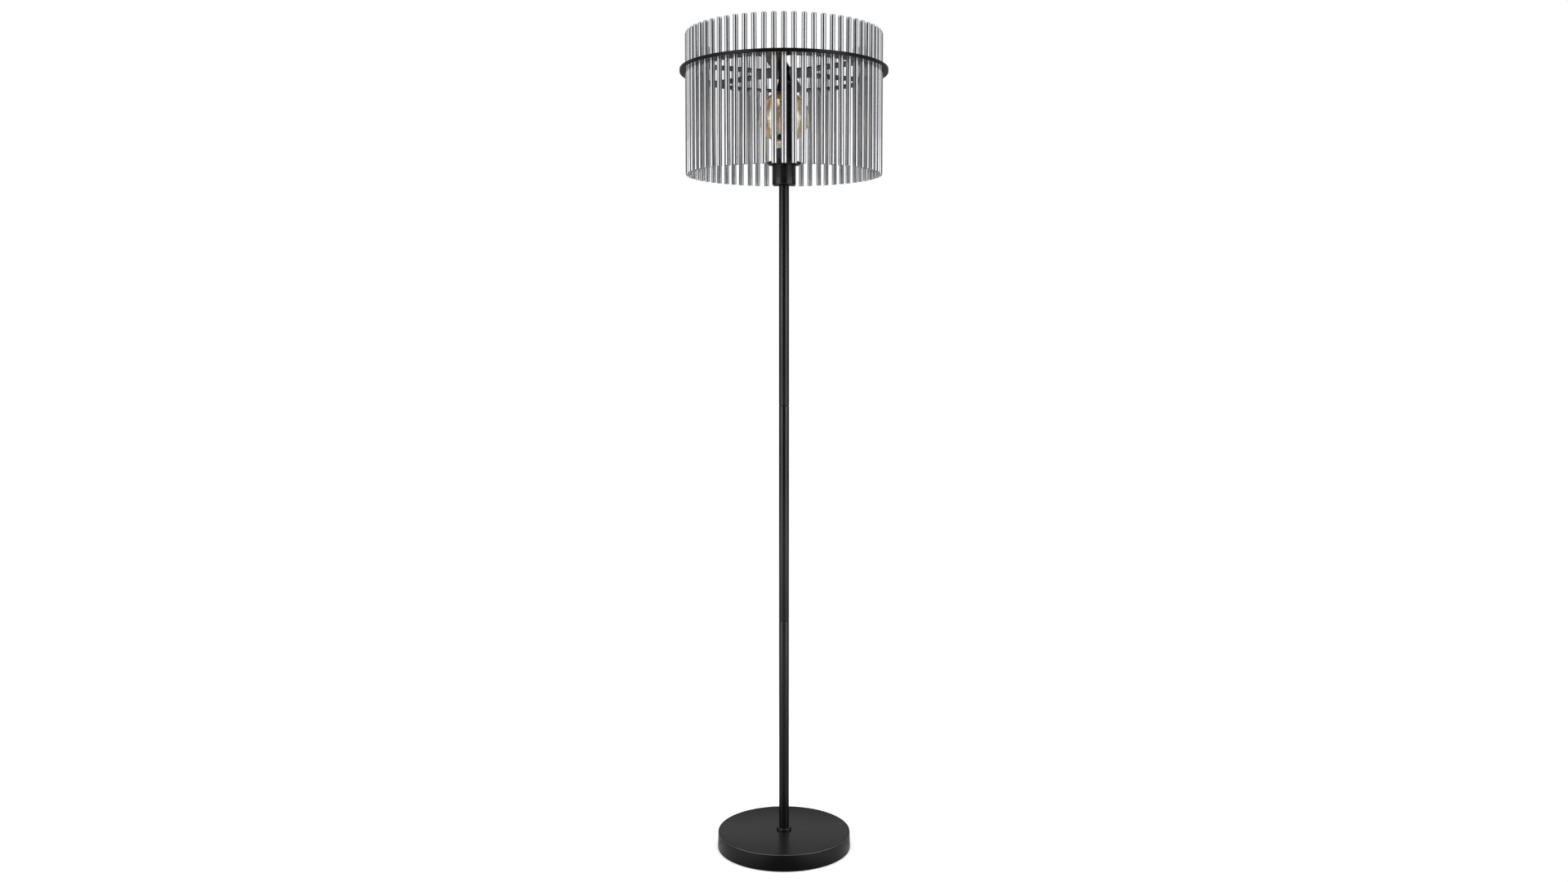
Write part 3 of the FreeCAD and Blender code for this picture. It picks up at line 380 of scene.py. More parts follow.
class Finish:
    """One material and the few node chains that all finishes here share."""

    def __init__(self, name):
        self.material = bpy.data.materials.new(name)
        self.material.use_nodes = True
        self.tree = self.material.node_tree
        self.shader = self.tree.nodes["Principled BSDF"]
        self.place = shader_node(self.tree, "TexCoord").outputs["Object"]

    def noise(self, scale, detail=3.0, stretch=(1.0, 1.0, 1.0)):
        """Noise in the lamp's own metres, stretched along an axis by a small factor there."""
        mapping = shader_node(self.tree, "Mapping", Scale=stretch)
        self.tree.links.new(self.place, mapping.inputs["Vector"])
        noise = shader_node(self.tree, "TexNoise", Scale=scale, Detail=detail, Roughness=0.55)
        self.tree.links.new(mapping.outputs["Vector"], noise.inputs["Vector"])
        return noise.outputs["Fac"]

    def ranged(self, source, low, high, source_low=0.3, source_high=0.7):
        """Source spread over a range of values."""
        spread = shader_node(
            self.tree, "MapRange", From_Min=source_low, From_Max=source_high, To_Min=low, To_Max=high)
        self.tree.links.new(source, spread.inputs["Value"])
        return spread.outputs["Result"]

    def blended(self, factor, first, second):
        """Colour between two colours, or between a colour and another chain."""
        mix = self.tree.nodes.new("ShaderNodeMix")
        mix.data_type = "RGBA"
        self.tree.links.new(factor, mix.inputs["Factor"])
        for socket, value in (("A", first), ("B", second)):
            target = [item for item in mix.inputs if item.name == socket and item.type == "RGBA"][0]
            if isinstance(value, bpy.types.NodeSocket):
                self.tree.links.new(value, target)
            else:
                target.default_value = (value[0], value[1], value[2], 1.0)
        return [item for item in mix.outputs if item.type == "RGBA"][0]

    def height(self):
        """Height above the floor."""
        return split_of(self.tree, self.place, "Z")

    def product(self, first, second):
        """Two chains multiplied."""
        return math_node(self.tree, "MULTIPLY", first, second)

    def facing_up(self):
        """How far the surface faces upwards."""
        return split_of(self.tree, shader_node(self.tree, "NewGeometry").outputs["Normal"], "Z")

    def colour(self, source):
        """Links the surface's colour to a chain."""
        self.tree.links.new(source, self.shader.inputs["Base Color"])

    def roughness(self, scale, detail, low, high):
        """Roughness between two values, uneven over the surface."""
        source = self.ranged(self.noise(scale, detail), low, high)
        self.tree.links.new(source, self.shader.inputs["Roughness"])

    def bump(self, *layers):
        """Bump from (source, depth in metres) layers, coarse first."""
        normal = None
        for source, depth in layers:
            bump = shader_node(self.tree, "Bump", Distance=depth)
            self.tree.links.new(source, bump.inputs["Height"])
            if normal is not None:
                self.tree.links.new(normal, bump.inputs["Normal"])
            normal = bump.outputs["Normal"]
        self.tree.links.new(normal, self.shader.inputs["Normal"])

    def set(self, **values):
        """Constant values on the shader's own sockets."""
        for name, value in values.items():
            self.shader.inputs[name.replace("_", " ")].default_value = value


def shaded(colour, factor):
    """Colour made lighter or darker by a factor."""
    return tuple(channel * factor for channel in colour[:3])


def powder_coat(name, gloss):
    """Black powder coat: soft orange peel, uneven sheen, a painted highlight along the base cover's rim and
    a trace of dust on top.
    """
    settings = bpy.context.scene.lamp_finish
    finish = Finish(name)
    black = settings.black
    painted_highlight_colour = shaded(black, 20.0)
    dust_colour = (0.48, 0.48, 0.52)
    most_dust = 0.012
    clouds = finish.ranged(finish.noise(9.0, 2.0), 0.0, 1.0)
    coat = finish.blended(clouds, shaded(black, 0.9), shaded(black, 1.1))
    # Painted highlight: a thin lighter band just under the top edge of the base cover, standing in for the
    # edge's reflection.
    rim = top_of("base_cover")
    highlight_start, highlight_full, highlight_fade, highlight_end = [rim - drop * MM for drop in (2.1, 1.6, 1.1, 0.7)]
    rise = finish.ranged(finish.height(), 0.0, 1.0, highlight_start, highlight_full)
    fall = finish.ranged(finish.height(), 1.0, 0.0, highlight_fade, highlight_end)
    painted_highlight_mask = finish.product(finish.product(rise, fall), finish.ranged(finish.noise(35.0, 2.0), 0.6, 1.0))
    coat_with_painted_highlight = finish.blended(painted_highlight_mask, coat, painted_highlight_colour)
    patches = finish.ranged(finish.noise(24.0, 2.0), 0.5, 1.0)
    dust = finish.product(finish.ranged(finish.facing_up(), 0.0, most_dust, 0.4, 1.0), patches)
    finish.colour(finish.blended(dust, coat_with_painted_highlight, dust_colour))
    middle = settings.roughness
    spread = 0.015
    finish.roughness(12.0, 2.0, middle - spread, middle + spread)
    finish.bump((finish.noise(140.0, 1.0), settings.grain))
    finish.set(Specular_IOR_Level=gloss, Specular_Tint=(0.97, 0.97, 1.0, 1.0))
    return finish.material


def mirror_chrome():
    """Chrome: polished metal under a thin haze, each rod a little lighter or darker, with painted shade
    over its lowest part.
    """
    colour = bpy.context.scene.lamp_rods.colour
    finish = Finish("mirror_chrome")
    by_rod = finish.noise(31.0, 1.0, stretch=(1.0, 1.0, 0.02))
    plating = finish.blended(finish.ranged(by_rod, 0.0, 1.0), shaded(colour, 0.8), shaded(colour, 1.05))
    # Painted shade: the chrome darkens to 0.62 of its colour towards the rods' feet, over their lowest 80
    # mm, standing in for a darker reflection.
    foot = bottom_of("rods_front")
    painted_shade_height = 80.0 * MM
    painted_shade_colour = shaded(colour, 0.62)
    painted_shade = finish.ranged(finish.height(), 1.0, 0.0, foot, foot + painted_shade_height)
    finish.colour(finish.blended(painted_shade, plating, painted_shade_colour))
    finish.roughness(20.0, 2.0, 0.03, 0.05)
    waves = finish.noise(60.0, 1.0, stretch=(1.0, 1.0, 0.25))
    finish.bump((waves, 0.002 * MM))
    finish.set(Metallic=1.0, Coat_Weight=1.0, Coat_Roughness=0.28, Coat_IOR=3.0)
    return finish.material


def metal(name, colour, roughness, spread=0.08, grain=500.0, depth=0.01, lines=(1.0, 1.0, 1.0), stain=0.85):
    """Bare or plated metal with uneven tone, roughness and a fine worked surface."""
    finish = Finish(name)
    stains = finish.ranged(finish.noise(45.0, 4.0), 0.0, 1.0)
    finish.colour(finish.blended(stains, shaded(colour, stain), colour))
    finish.roughness(130.0, 4.0, roughness - spread / 2.0, roughness + spread)
    finish.bump((finish.noise(grain, 3.0, stretch=lines), depth * MM))
    finish.set(Metallic=1.0)
    return finish.material


def moulded(name, colour, roughness, grain=1500.0, depth=0.01, speck=None, speck_share=0.0):
    """Moulded or fired material with a matt skin; speck is an optional second colour."""
    finish = Finish(name)
    clouds = finish.ranged(finish.noise(60.0, 3.0), 0.0, 1.0)
    ground = finish.blended(clouds, shaded(colour, 0.88), shaded(colour, 1.1))
    if speck:
        dots = finish.ranged(finish.noise(700.0, 2.0), 0.0, 1.0, 0.62 - speck_share, 0.66 - speck_share)
        ground = finish.blended(dots, ground, speck)
    finish.colour(ground)
    finish.roughness(90.0, 3.0, roughness - 0.06, roughness + 0.08)
    finish.bump((finish.noise(grain, 3.0), depth * MM))
    return finish.material


def cast_iron():
    """Rough sand-cast surface with a little rust."""
    finish = Finish("cast_iron_weight")
    rust = finish.ranged(finish.noise(35.0, 6.0), 0.0, 0.6, 0.52, 0.7)
    finish.colour(finish.blended(rust, (0.06, 0.06, 0.062), (0.16, 0.07, 0.035)))
    finish.roughness(80.0, 4.0, 0.6, 0.85)
    finish.bump((finish.noise(220.0, 5.0), 0.35 * MM), (finish.noise(1400.0, 4.0), 0.12 * MM))
    finish.set(Metallic=0.35)
    return finish.material


def amber_glass():
    """Amber glass with slow waves: warm above, golden below, pale at the neck, and a pale band round the
    middle that is a painted reflection.
    """
    settings = bpy.context.scene.lamp_bulb
    finish = Finish("amber_glass")
    radius = radius_of("bulb_glass")
    centre = top_of("bulb_glass") - radius
    pale = (0.99, 0.985, 0.96)
    golden = (0.94, 0.87, 0.66)
    warm = (0.88, 0.76, 0.55)
    # The pale band between the golden and the warm zones is a painted reflection of the light beside the
    # bulb.
    upper = finish.ranged(finish.height(), 0.0, 1.0, centre + 0.25 * radius, centre + 0.36 * radius)
    above_neck = finish.ranged(finish.height(), 0.0, 1.0, centre - radius, centre - 0.85 * radius)
    below_painted_reflection = finish.ranged(finish.height(), 1.0, 0.0, centre - 0.35 * radius, centre - 0.05 * radius)
    lower = finish.product(above_neck, below_painted_reflection)
    finish.colour(finish.blended(upper, finish.blended(lower, pale, golden), warm))
    finish.roughness(30.0, 2.0, 0.0, 0.02)
    finish.bump((finish.noise(45.0, 2.0), 0.012 * MM))
    finish.set(Transmission_Weight=1.0, IOR=1.6, Coat_Weight=1.0, Coat_Roughness=0.03, Coat_IOR=1.9)
    absorb = shader_node(finish.tree, "VolumeAbsorption", Color=(*settings.tint, 1.0), Density=290.0)
    output = finish.tree.nodes["Material Output"]
    finish.tree.links.new(absorb.outputs["Volume"], output.inputs["Volume"])
    return finish.material


def clear_glass():
    """Clear glass of the stem."""
    finish = Finish("clear_glass")
    streaks = finish.ranged(finish.noise(120.0, 2.0, stretch=(1.0, 1.0, 0.3)), 0.0, 1.0)
    finish.colour(finish.blended(streaks, (0.95, 0.93, 0.9), (0.99, 0.98, 0.97)))
    finish.roughness(90.0, 2.0, 0.0, 0.04)
    finish.bump((finish.noise(160.0, 2.0), 0.03 * MM))
    finish.set(Transmission_Weight=1.0, IOR=1.5)
    return finish.material


def filament_coating():
    """Warm coated light strip with a faint glow and beads along it."""
    glow = bpy.context.scene.lamp_bulb.glow
    finish = Finish("filament_coating")
    beads = finish.noise(700.0, 1.0, stretch=(0.2, 0.2, 1.0))
    warm = finish.blended(finish.ranged(beads, 0.0, 1.0), shaded(glow, 0.8), glow)
    finish.colour(warm)
    finish.tree.links.new(warm, finish.shader.inputs["Emission Color"])
    finish.roughness(300.0, 2.0, 0.35, 0.55)
    finish.bump((beads, 0.08 * MM))
    finish.set(Emission_Strength=0.5)
    return finish.material


def foam_pad():
    """Closed-cell foam under the base."""
    finish = Finish("foam_pad")
    cells = shader_node(finish.tree, "TexVoronoi", Scale=1100.0)
    finish.tree.links.new(finish.place, cells.inputs["Vector"])
    tone = finish.ranged(cells.outputs["Distance"], 0.0, 1.0, 0.0, 0.7)
    finish.colour(finish.blended(tone, (0.018, 0.018, 0.018), (0.04, 0.04, 0.041)))
    finish.roughness(60.0, 3.0, 0.8, 0.95)
    finish.bump((cells.outputs["Distance"], 0.15 * MM))
    return finish.material


finishes_made = {}


def finish_of(kind):
    """The material of this kind, made when it is first asked for."""
    makers = {
        "black": lambda: powder_coat("satin_black_powder_coat", 0.5),
        "sheet": lambda: powder_coat("matt_black_powder_coat", 0.25),
        "chrome": mirror_chrome,
        "amber": amber_glass,
        "clear": clear_glass,
        "filament": filament_coating,
        "foam": foam_pad,
        "iron": cast_iron,
        "zinc": lambda: metal("bright_zinc_plate", (0.62, 0.63, 0.62), 0.28, grain=900.0, depth=0.012),
        "oxide": lambda: metal("black_oxide_steel", (0.045, 0.045, 0.05), 0.38, grain=800.0, depth=0.01),
        "spring": lambda: metal("spring_steel", (0.42, 0.42, 0.44), 0.3, grain=1200.0, depth=0.008),
        "nickel": lambda: metal("nickel_cap", (0.72, 0.7, 0.66), 0.22, grain=700.0, depth=0.01),
        "brass": lambda: metal("drawn_brass", (0.72, 0.5, 0.2), 0.24, grain=900.0, lines=(1.0, 1.0, 0.1)),
        "solder": lambda: metal("solder", (0.5, 0.5, 0.5), 0.35, grain=260.0, depth=0.08, stain=0.7),
        "wire": lambda: metal("nickel_wire", (0.5, 0.46, 0.4), 0.32, grain=1500.0, lines=(1.0, 1.0, 0.2)),
        "phenolic": lambda: moulded("black_phenolic", (0.02, 0.02, 0.021), 0.34, 1800.0, 0.012,
                                    (0.045, 0.04, 0.036), 0.02),
        "steatite": lambda: moulded("steatite", (0.78, 0.76, 0.7), 0.5, 900.0, 0.02, (0.6, 0.55, 0.47)),
        "seal": lambda: moulded("black_seal_glass", (0.012, 0.012, 0.016), 0.12, 400.0, 0.02),
        "rubber": lambda: moulded("outlet_rubber", (0.016, 0.016, 0.016), 0.62, 2200.0, 0.02),
    }
    if kind not in finishes_made:
        finishes_made[kind] = makers[kind]()
    return finishes_made[kind]


# Pieces

class LAMP_OT_base(Operator):
    """Cover, foot pad, collar and cord outlet of the base"""
    bl_idname = "lamp.base"
    bl_label = "Base"

    def execute(self, context):
        settings = context.scene.lamp_base
        foot, bottom, top = extent_of("base_cover")
        wall = settings.cover_wall
        bore = radius_of("base_stud")
        shoulder = foot - settings.top_inset
        outline = softened((
            (bore, top - wall),
            (shoulder - wall, top - wall, settings.edge_radius / 2.0),
            (foot - wall, bottom),
            (foot, bottom, wall / 4.0),
            (shoulder, top, settings.edge_radius),
            (bore, top),
        ), steps=6)
        black_piece("base_cover_pressing", lathe(outline, 256), "base_cover")
        pad, pad_bottom, pad_top = extent_of("base_pad")
        outline = softened((
            (0.0, pad_bottom),
            (pad, pad_bottom, settings.pad_edge),
            (pad, pad_top),
            (0.0, pad_top),
        ))
        piece("foot_pad", lathe(outline), "foam", "lamp", ["base_pad"])
        self.collar(top)
        self.outlet()
        dress("iron", "base_weight")
        dress("zinc", "base_stud", "base_washer", "base_nut")
        return {"FINISHED"}

    def collar(self, bottom):
        """Turned collar with a rounded crown, round the foot of the pole."""
        bore = radius_of("pole_lower")
        outer = radius_of("foot_collar")
        top = top_of("foot_collar")
        height = top - bottom
        foot_edge = height * 0.16
        crown = height * 0.42
        bore_edge = height * 0.1
        outline = softened((
            (bore, bottom),
            (outer, bottom, foot_edge),
            (outer, top, crown),
            (bore, top, bore_edge),
        ), steps=8)
        black_piece("foot_collar_turned", lathe(outline, 96), "foot_collar")

    def outlet(self):
        """Rubber bush with a rounded flange, its axis along Y at the back of the base."""
        low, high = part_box("cord_gland")
        flange = (high.x - low.x) / 2.0
        bore = 3.0 * MM
        barrel = 4.4 * MM
        flange_thickness = 2.5 * MM
        seat = high.y - flange_thickness
        lead_in = 0.4 * MM
        seat_edge = 0.3 * MM
        rim_edge = 1.1 * MM
        mouth_edge = 0.7 * MM
        outline = softened((
            (bore, low.y),
            (barrel, low.y, lead_in),
            (barrel, seat),
            (flange, seat, seat_edge),
            (flange, high.y, rim_edge),
            (bore, high.y, mouth_edge),
        ))
        made = lathe(outline, SMALL_LATHE_STEPS)
        turn = Matrix.Rotation(math.radians(-90.0), 4, "X")
        place = Matrix.Translation((0.0, 0.0, (low.z + high.z) / 2.0)) @ turn
        bmesh.ops.transform(made, matrix=place, verts=made.verts)
        piece("cord_outlet_bush", made, "rubber", "lamp", ["cord_gland"])


class LAMP_OT_pole(Operator):
    """Three pole tubes, their bushes and nipples"""
    bl_idname = "lamp.pole"
    bl_label = "Pole"

    def execute(self, context):
        settings = context.scene.lamp_pole
        edge = settings.seam_depth / 8.0
        for node in ("pole_lower", "pole_middle", "pole_upper"):
            outer, bottom, top = extent_of(node)
            inner = outer - settings.wall
            outline = softened((
                (inner, bottom),
                (outer, bottom, edge),
                (outer, top - settings.seam_height, edge),
                (outer - settings.seam_depth, top),
                (inner, top),
            ))
            black_piece(node + "_tube", lathe(outline, 96), node)
        dress("zinc", "pole_bushes", "pole_nipples")
        return {"FINISHED"}


class LAMP_OT_cup(Operator):
    """Socket cup with its stud, washer and nut"""
    bl_idname = "lamp.cup"
    bl_label = "Socket cup"

    def execute(self, context):
        settings = context.scene.lamp_pole
        outer, bottom, top = extent_of("socket_cup")
        wall = settings.cup_wall
        floor_thickness = 1.8 * MM
        floor = bottom + floor_thickness
        lip_edge = wall * 0.3
        bore = radius_of("cup_stud")
        outline = softened((
            (bore, bottom),
            (outer, bottom, settings.cup_edge),
            (outer, top, lip_edge),
            (outer - wall, top, lip_edge),
            (outer - wall, floor, settings.cup_edge - wall),
            (bore, floor),
        ), steps=8)
        black_piece("socket_cup_spun", lathe(outline), "socket_cup")
        dress("zinc", "cup_stud", "cup_washer", "cup_nut")
        return {"FINISHED"}


class LAMP_OT_lampholder(Operator):
    """Lampholder with its threaded skirt, and the flange that clamps it"""
    bl_idname = "lamp.lampholder"
    bl_label = "Lampholder"

    def execute(self, context):
        outer, bottom, top = extent_of("lampholder_skirt")
        clearance = 0.05 * MM
        step_depth = 1.2 * MM
        step_height = 5.0 * MM
        bore = radius_of("thread_shell") + clearance
        step = outer - step_depth
        thread_top = top - step_height
        step_edge = 0.8 * MM
        mouth_edge = 0.5 * MM
        pitch = 2.2 * MM
        depth = 0.55 * MM
        margin = 1.0 * MM
        rows_per_turn = 10

        def thread(radius, height, angle):
            """Radius on the moulded thread, plain near its ends."""
            if radius < step or height > thread_top - margin or height < bottom + margin:
                return radius
            phase = 2.0 * math.pi * height / pitch - angle
            return radius - depth * (0.5 - 0.5 * math.cos(phase))

        rows = int((thread_top - bottom) / pitch * rows_per_turn)
        side = [(outer, bottom + (thread_top - bottom) * row / rows) for row in range(rows + 1)]
        outline = [(bore, bottom)] + side + [tuple(point) for point in softened((
            (step, thread_top),
            (step, top, step_edge),
            (bore, top, mouth_edge),
            (bore, bottom),
        ))[:-1]]
        made = lathe(outline, 120, ripple=thread)
        piece("lampholder_skirt_moulded", made, "phenolic", "lamp", ["lampholder_skirt"])
        self.flange()
        dress("phenolic", "lampholder_base")
        dress("steatite", "lampholder_insert")
        dress("brass", "thread_shell", "centre_contact", "terminal_screws")
        return {"FINISHED"}

    def flange(self):
        """Conical flange with a rolled rim and a short collar."""
        rim, bottom, top = extent_of("shade_ring")
        clearance = 0.1 * MM
        collar_width = 2.4 * MM
        bore = radius_of("lampholder_skirt") + clearance
        collar = bore + collar_width
        rise = 4.5 * MM
        sheet = 1.5 * MM
        rim_lift = 0.4 * MM
        rim_edge = 0.5 * MM
        root = 0.8 * MM
        collar_edge = 0.6 * MM
        mouth_edge = 0.4 * MM
        outline = softened((
            (bore, bottom),
            (collar, bottom),
            (collar, bottom + rise),
            (rim, bottom + rim_lift, rim_edge),
            (rim, bottom + rim_lift + sheet, rim_edge),
            (collar, bottom + rise + sheet, root),
            (collar, top, collar_edge),
            (bore, top, mouth_edge),
        ))
        black_piece("clamp_flange", lathe(outline), "shade_ring")


class LAMP_OT_carrier(Operator):
    """Harp, ring with arms, and the hub's fasteners"""
    bl_idname = "lamp.carrier"
    bl_label = "Carrier and harp"

    def execute(self, context):
        dress("sheet", "harp", "shade_carrier")
        dress("oxide", "hub_screw", "hub_washer", "hub_nut")
        return {"FINISHED"}


class LAMP_OT_rods(Operator):
    """Chrome rods of the cage, by side, with their clips"""
    bl_idname = "lamp.rods"
    bl_label = "Rods"

    def execute(self, context):
        settings = context.scene.lamp_rods
        radius = settings.diameter / 2.0
        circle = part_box("rods_right")[1].x - radius
        bottom = bottom_of("rods_front")
        top = top_of("rods_front") - radius * math.sin(settings.swing)
        clip_bottom = bottom_of("rod_clips")
        clip_top = top_of("rod_clips")
        neck = radius - settings.groove_depth
        swing_step = 2.4
        outline = softened((
            (0.0, bottom),
            (radius, bottom, settings.foot_radius),
            (radius, clip_bottom),
            (neck, clip_bottom),
            (neck, clip_top),
            (radius, clip_top),
            (radius, top, settings.end_radius),
            (0.0, top),
        ), steps=7)
        seat = Vector((circle, 0.0, (clip_bottom + clip_top) / 2.0))
        by_side = {side: [] for side in SIDES}
        for number in range(settings.count):
            side = SIDES[int(len(SIDES) * number / settings.count + 0.5) % len(SIDES)]
            angle = FRONT + 2.0 * math.pi * number / settings.count
            swing = settings.swing * math.sin(number * swing_step)
            hang = Matrix.Translation(seat) @ Matrix.Rotation(swing, 4, "X") @ Matrix.Translation(-seat)
            rod = Matrix.Translation((circle, 0.0, 0.0))
            by_side[side].append(Matrix.Rotation(angle, 4, "Z") @ hang @ rod)
        one = lathe(outline, ROD_STEPS)
        for side in SIDES:
            made = gathered([(one, place) for place in by_side[side]])
            node = "rods_" + side
            piece(node + "_chrome", made, "chrome", "lamp", [node])
        one.free()
        dress("spring", "rod_clips")
        return {"FINISHED"}


class LAMP_OT_bulb(Operator):
    """Amber globe bulb with its stem, wires, filaments and screw cap"""
    bl_idname = "lamp.bulb"
    bl_label = "Bulb"

    def execute(self, context):
        self.glass(context.scene.lamp_bulb)
        self.cap(context.scene.lamp_bulb)
        self.inside()
        return {"FINISHED"}

    def glass(self, settings):
        """Closed glass shell: spigot in the cap, shoulder, neck, sweep and globe."""
        globe, foot, crown = extent_of("bulb_glass")
        centre = Vector((0.0, crown - globe))
        seat_gap = 0.4 * MM
        spigot_gap = 0.45 * MM
        seat = top_of("bulb_cap") + seat_gap
        spigot = radius_of("bulb_cap") - spigot_gap
        neck = settings.neck_diameter / 2.0
        bend = settings.neck_bend
        shoulder = neck - spigot
        bend_centre = Vector((neck + bend, centre.y - math.sqrt((globe + bend) ** 2 - (neck + bend) ** 2)))
        meet = math.atan2(bend_centre.y - centre.y, bend_centre.x)

        def side(inset):
            """Outline of one face of the glass, from the spigot's foot up to the crown."""
            shoulder_centre = Vector((spigot, seat + shoulder))
            points = [Vector((spigot - inset, foot)), Vector((spigot - inset, seat + inset))]
            points += arc_points(shoulder_centre, shoulder - inset, -math.pi / 2.0, 0.0, 6)
            points += arc_points(bend_centre, bend + inset, math.pi, math.pi + meet, 14)
            points += arc_points(centre, globe - inset, meet, math.pi / 2.0, 44)
            points[-1].x = 0.0
            return points

        outline = side(0.0) + list(reversed(side(settings.wall)))
        cleaned = []
        for point in outline:
            if not cleaned or (point - cleaned[-1]).length > SAME_POINT:
                cleaned.append(point)
        made = lathe([tuple(point) for point in cleaned], 128)
        piece("bulb_globe", made, "amber", "bulb", ["bulb_glass"])

    def cap(self, settings):
        """Screw cap with a rolled thread, glass insulator and soldered end contact."""
        outer, bottom, top = extent_of("bulb_cap")
        wall = 0.4 * MM
        thread_top = bottom_of("bulb_glass") - 0.5 * MM
        thread_bottom = bottom + 1.5 * MM
        ease = 1.5 * MM
        pitch = settings.thread_pitch
        depth = settings.thread_depth

        def thread(radius, height, angle):
            """Radius on the rolled thread, which eases in and out at its ends."""
            inside = min((height - thread_bottom) / ease, (thread_top - height) / ease)
            share = max(0.0, min(1.0, inside))
            phase = 2.0 * math.pi * height / pitch - angle
            return radius - depth * share * (0.5 - 0.5 * math.cos(phase))

        rows = 90
        heights = [bottom + (top - bottom) * row / rows for row in range(rows + 1)]
        outline = [(outer, height) for height in heights]
        outline += [(outer - wall, height) for height in reversed(heights)]
        made = lathe(outline, 96, ripple=thread)
        piece("bulb_screw_cap", made, "nickel", "bulb", ["bulb_cap"])
        contact = radius_of("bulb_contact")
        low = bottom_of("bulb_insulator")
        shelf = contact + 2.4 * MM
        shelf_rise = 0.6 * MM
        shelf_edge = 0.8 * MM
        seal = outer - 1.2 * MM
        seal_drop = 0.4 * MM
        seal_inset = 0.2 * MM
        seal_edge = 0.6 * MM
        outline = softened((
            (0.0, low),
            (contact, low),
            (shelf, low + shelf_rise, shelf_edge),
            (seal - seal_inset, bottom - seal_drop, seal_edge),
            (seal, bottom),
            (0.0, bottom),
        ), steps=5)
        made = lathe(outline, SMALL_LATHE_STEPS)
        piece("bulb_insulator_glass", made, "seal", "bulb", ["bulb_insulator"])
        drop = bottom_of("bulb_contact")
        face = contact * 0.62
        face_edge = 0.5 * MM
        rim_drop = 0.15 * MM
        rim_edge = 0.1 * MM
        outline = softened((
            (0.0, drop),
            (face, drop, face_edge),
            (contact, low - rim_drop, rim_edge),
            (contact, low),
            (0.0, low),
        ), steps=5)
        piece("bulb_end_contact", lathe(outline, 48), "solder", "bulb", ["bulb_contact"])

    def inside(self):
        """Flared glass stem with its post, support wires and filaments."""
        foot, bottom, post_top = extent_of("bulb_stem")
        stem = 3.5 * MM
        post = 1.2 * MM
        stem_top = bottom + 32.0 * MM
        flare_top = bottom + 12.0 * MM
        foot_edge = 0.5 * MM
        flare = 6.0 * MM
        taper = 1.2 * MM
        pinch = 2.4 * MM
        post_edge = 1.0 * MM
        button = 0.9 * MM
        button_edge = 0.8 * MM
        crown = 0.6 * MM
        outline = softened((
            (0.0, bottom),
            (foot, bottom, foot_edge),
            (stem + taper, bottom + flare, flare),
            (stem, flare_top, flare),
            (stem, stem_top, pinch),
            (post, stem_top + taper, post_edge),
            (post, post_top - 2.0 * taper, button_edge),
            (post + button, post_top - taper, button_edge),
            (post, post_top, crown),
            (0.0, post_top),
        ), steps=6)
        made = lathe(outline, SMALL_LATHE_STEPS)
        piece("bulb_stem_glass", made, "clear", "bulb", ["bulb_stem"])
        low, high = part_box("bulb_filaments")
        thickness = 1.0 * MM
        circle = high.x - thickness
        cap_length = 1.6 * MM
        strip_low = low.z + cap_length
        strip_high = high.z - cap_length
        strip_edge = 0.3 * MM
        strip_outline = softened((
            (0.0, strip_low),
            (thickness, strip_low, strip_edge),
            (thickness, strip_high, strip_edge),
            (0.0, strip_high),
        ))
        strips = []
        wires = []
        count = 4
        wire_inset = 0.4 * MM
        wire_radius = 0.38 * MM
        root = post * 0.6
        bends = ((0.5, 0.0), (0.86, 0.08), (0.97, 0.3), (1.0, 0.6), (1.0, 1.0))
        lower_wire = bottom_of("bulb_wires") + wire_inset
        upper_wire = top_of("bulb_wires") - wire_inset
        for number in range(count):
            turn = Matrix.Rotation(2.0 * math.pi * number / count, 4, "Z")
            strips.append((lathe(strip_outline, 20, centre=(circle, 0.0)), turn))
            for start, end in ((lower_wire, strip_low), (upper_wire, strip_high)):
                path = [(root, 0.0, start)]
                path += [(circle * reach, 0.0, start + (end - start) * rise) for reach, rise in bends]
                wires.append((wire_tube(path, wire_radius), turn))
        piece("bulb_light_strips", gathered(strips), "filament", "bulb", ["bulb_filaments"])
        piece("bulb_support_wires", gathered(wires), "wire", "bulb", ["bulb_wires"])
        for made, _ in strips + wires:
            made.free()


# Stage

def backdrop_switch(tree, chain_for_eye, chain_for_light):
    """The first chain for camera, glossy and transmission rays, and the second for the light itself."""
    path = shader_node(tree, "LightPath")
    seen = path.outputs["Is Camera Ray"]
    for name in ("Is Glossy Ray", "Is Transmission Ray"):
        seen = math_node(tree, "MAXIMUM", seen, path.outputs[name])
    return mixed_shaders(tree, seen, chain_for_light, chain_for_eye)


def mixed_shaders(tree, share, first, second):
    """Two shaders mixed by a chain."""
    mix = shader_node(tree, "MixShader")
    for socket, chain in zip(mix.inputs, (share, first, second)):
        tree.links.new(chain, socket)
    return mix.outputs["Shader"]


def stage_object(scene, name, made, material):
    """Object of the stage, which is not part of the lamp."""
    mesh = bpy.data.meshes.new(name)
    made.to_mesh(mesh)
    made.free()
    mesh.materials.append(material)
    shape = bpy.data.objects.new(name, mesh)
    scene.collection.objects.link(shape)
    return shape


def disc(radius, height):
    """Flat disc about the lamp's axis, as a bmesh."""
    made = bmesh.new()
    bmesh.ops.create_circle(made, cap_ends=True, radius=radius, segments=96)
    bmesh.ops.translate(made, verts=made.verts, vec=(0.0, 0.0, height))
    return made


def on_card_circle(degrees, height):
    """Point on the circle of cards, its angle counted from the front."""
    angle = math.radians(degrees)
    return Vector((CARD_DISTANCE * math.sin(angle), -CARD_DISTANCE * math.cos(angle), height))


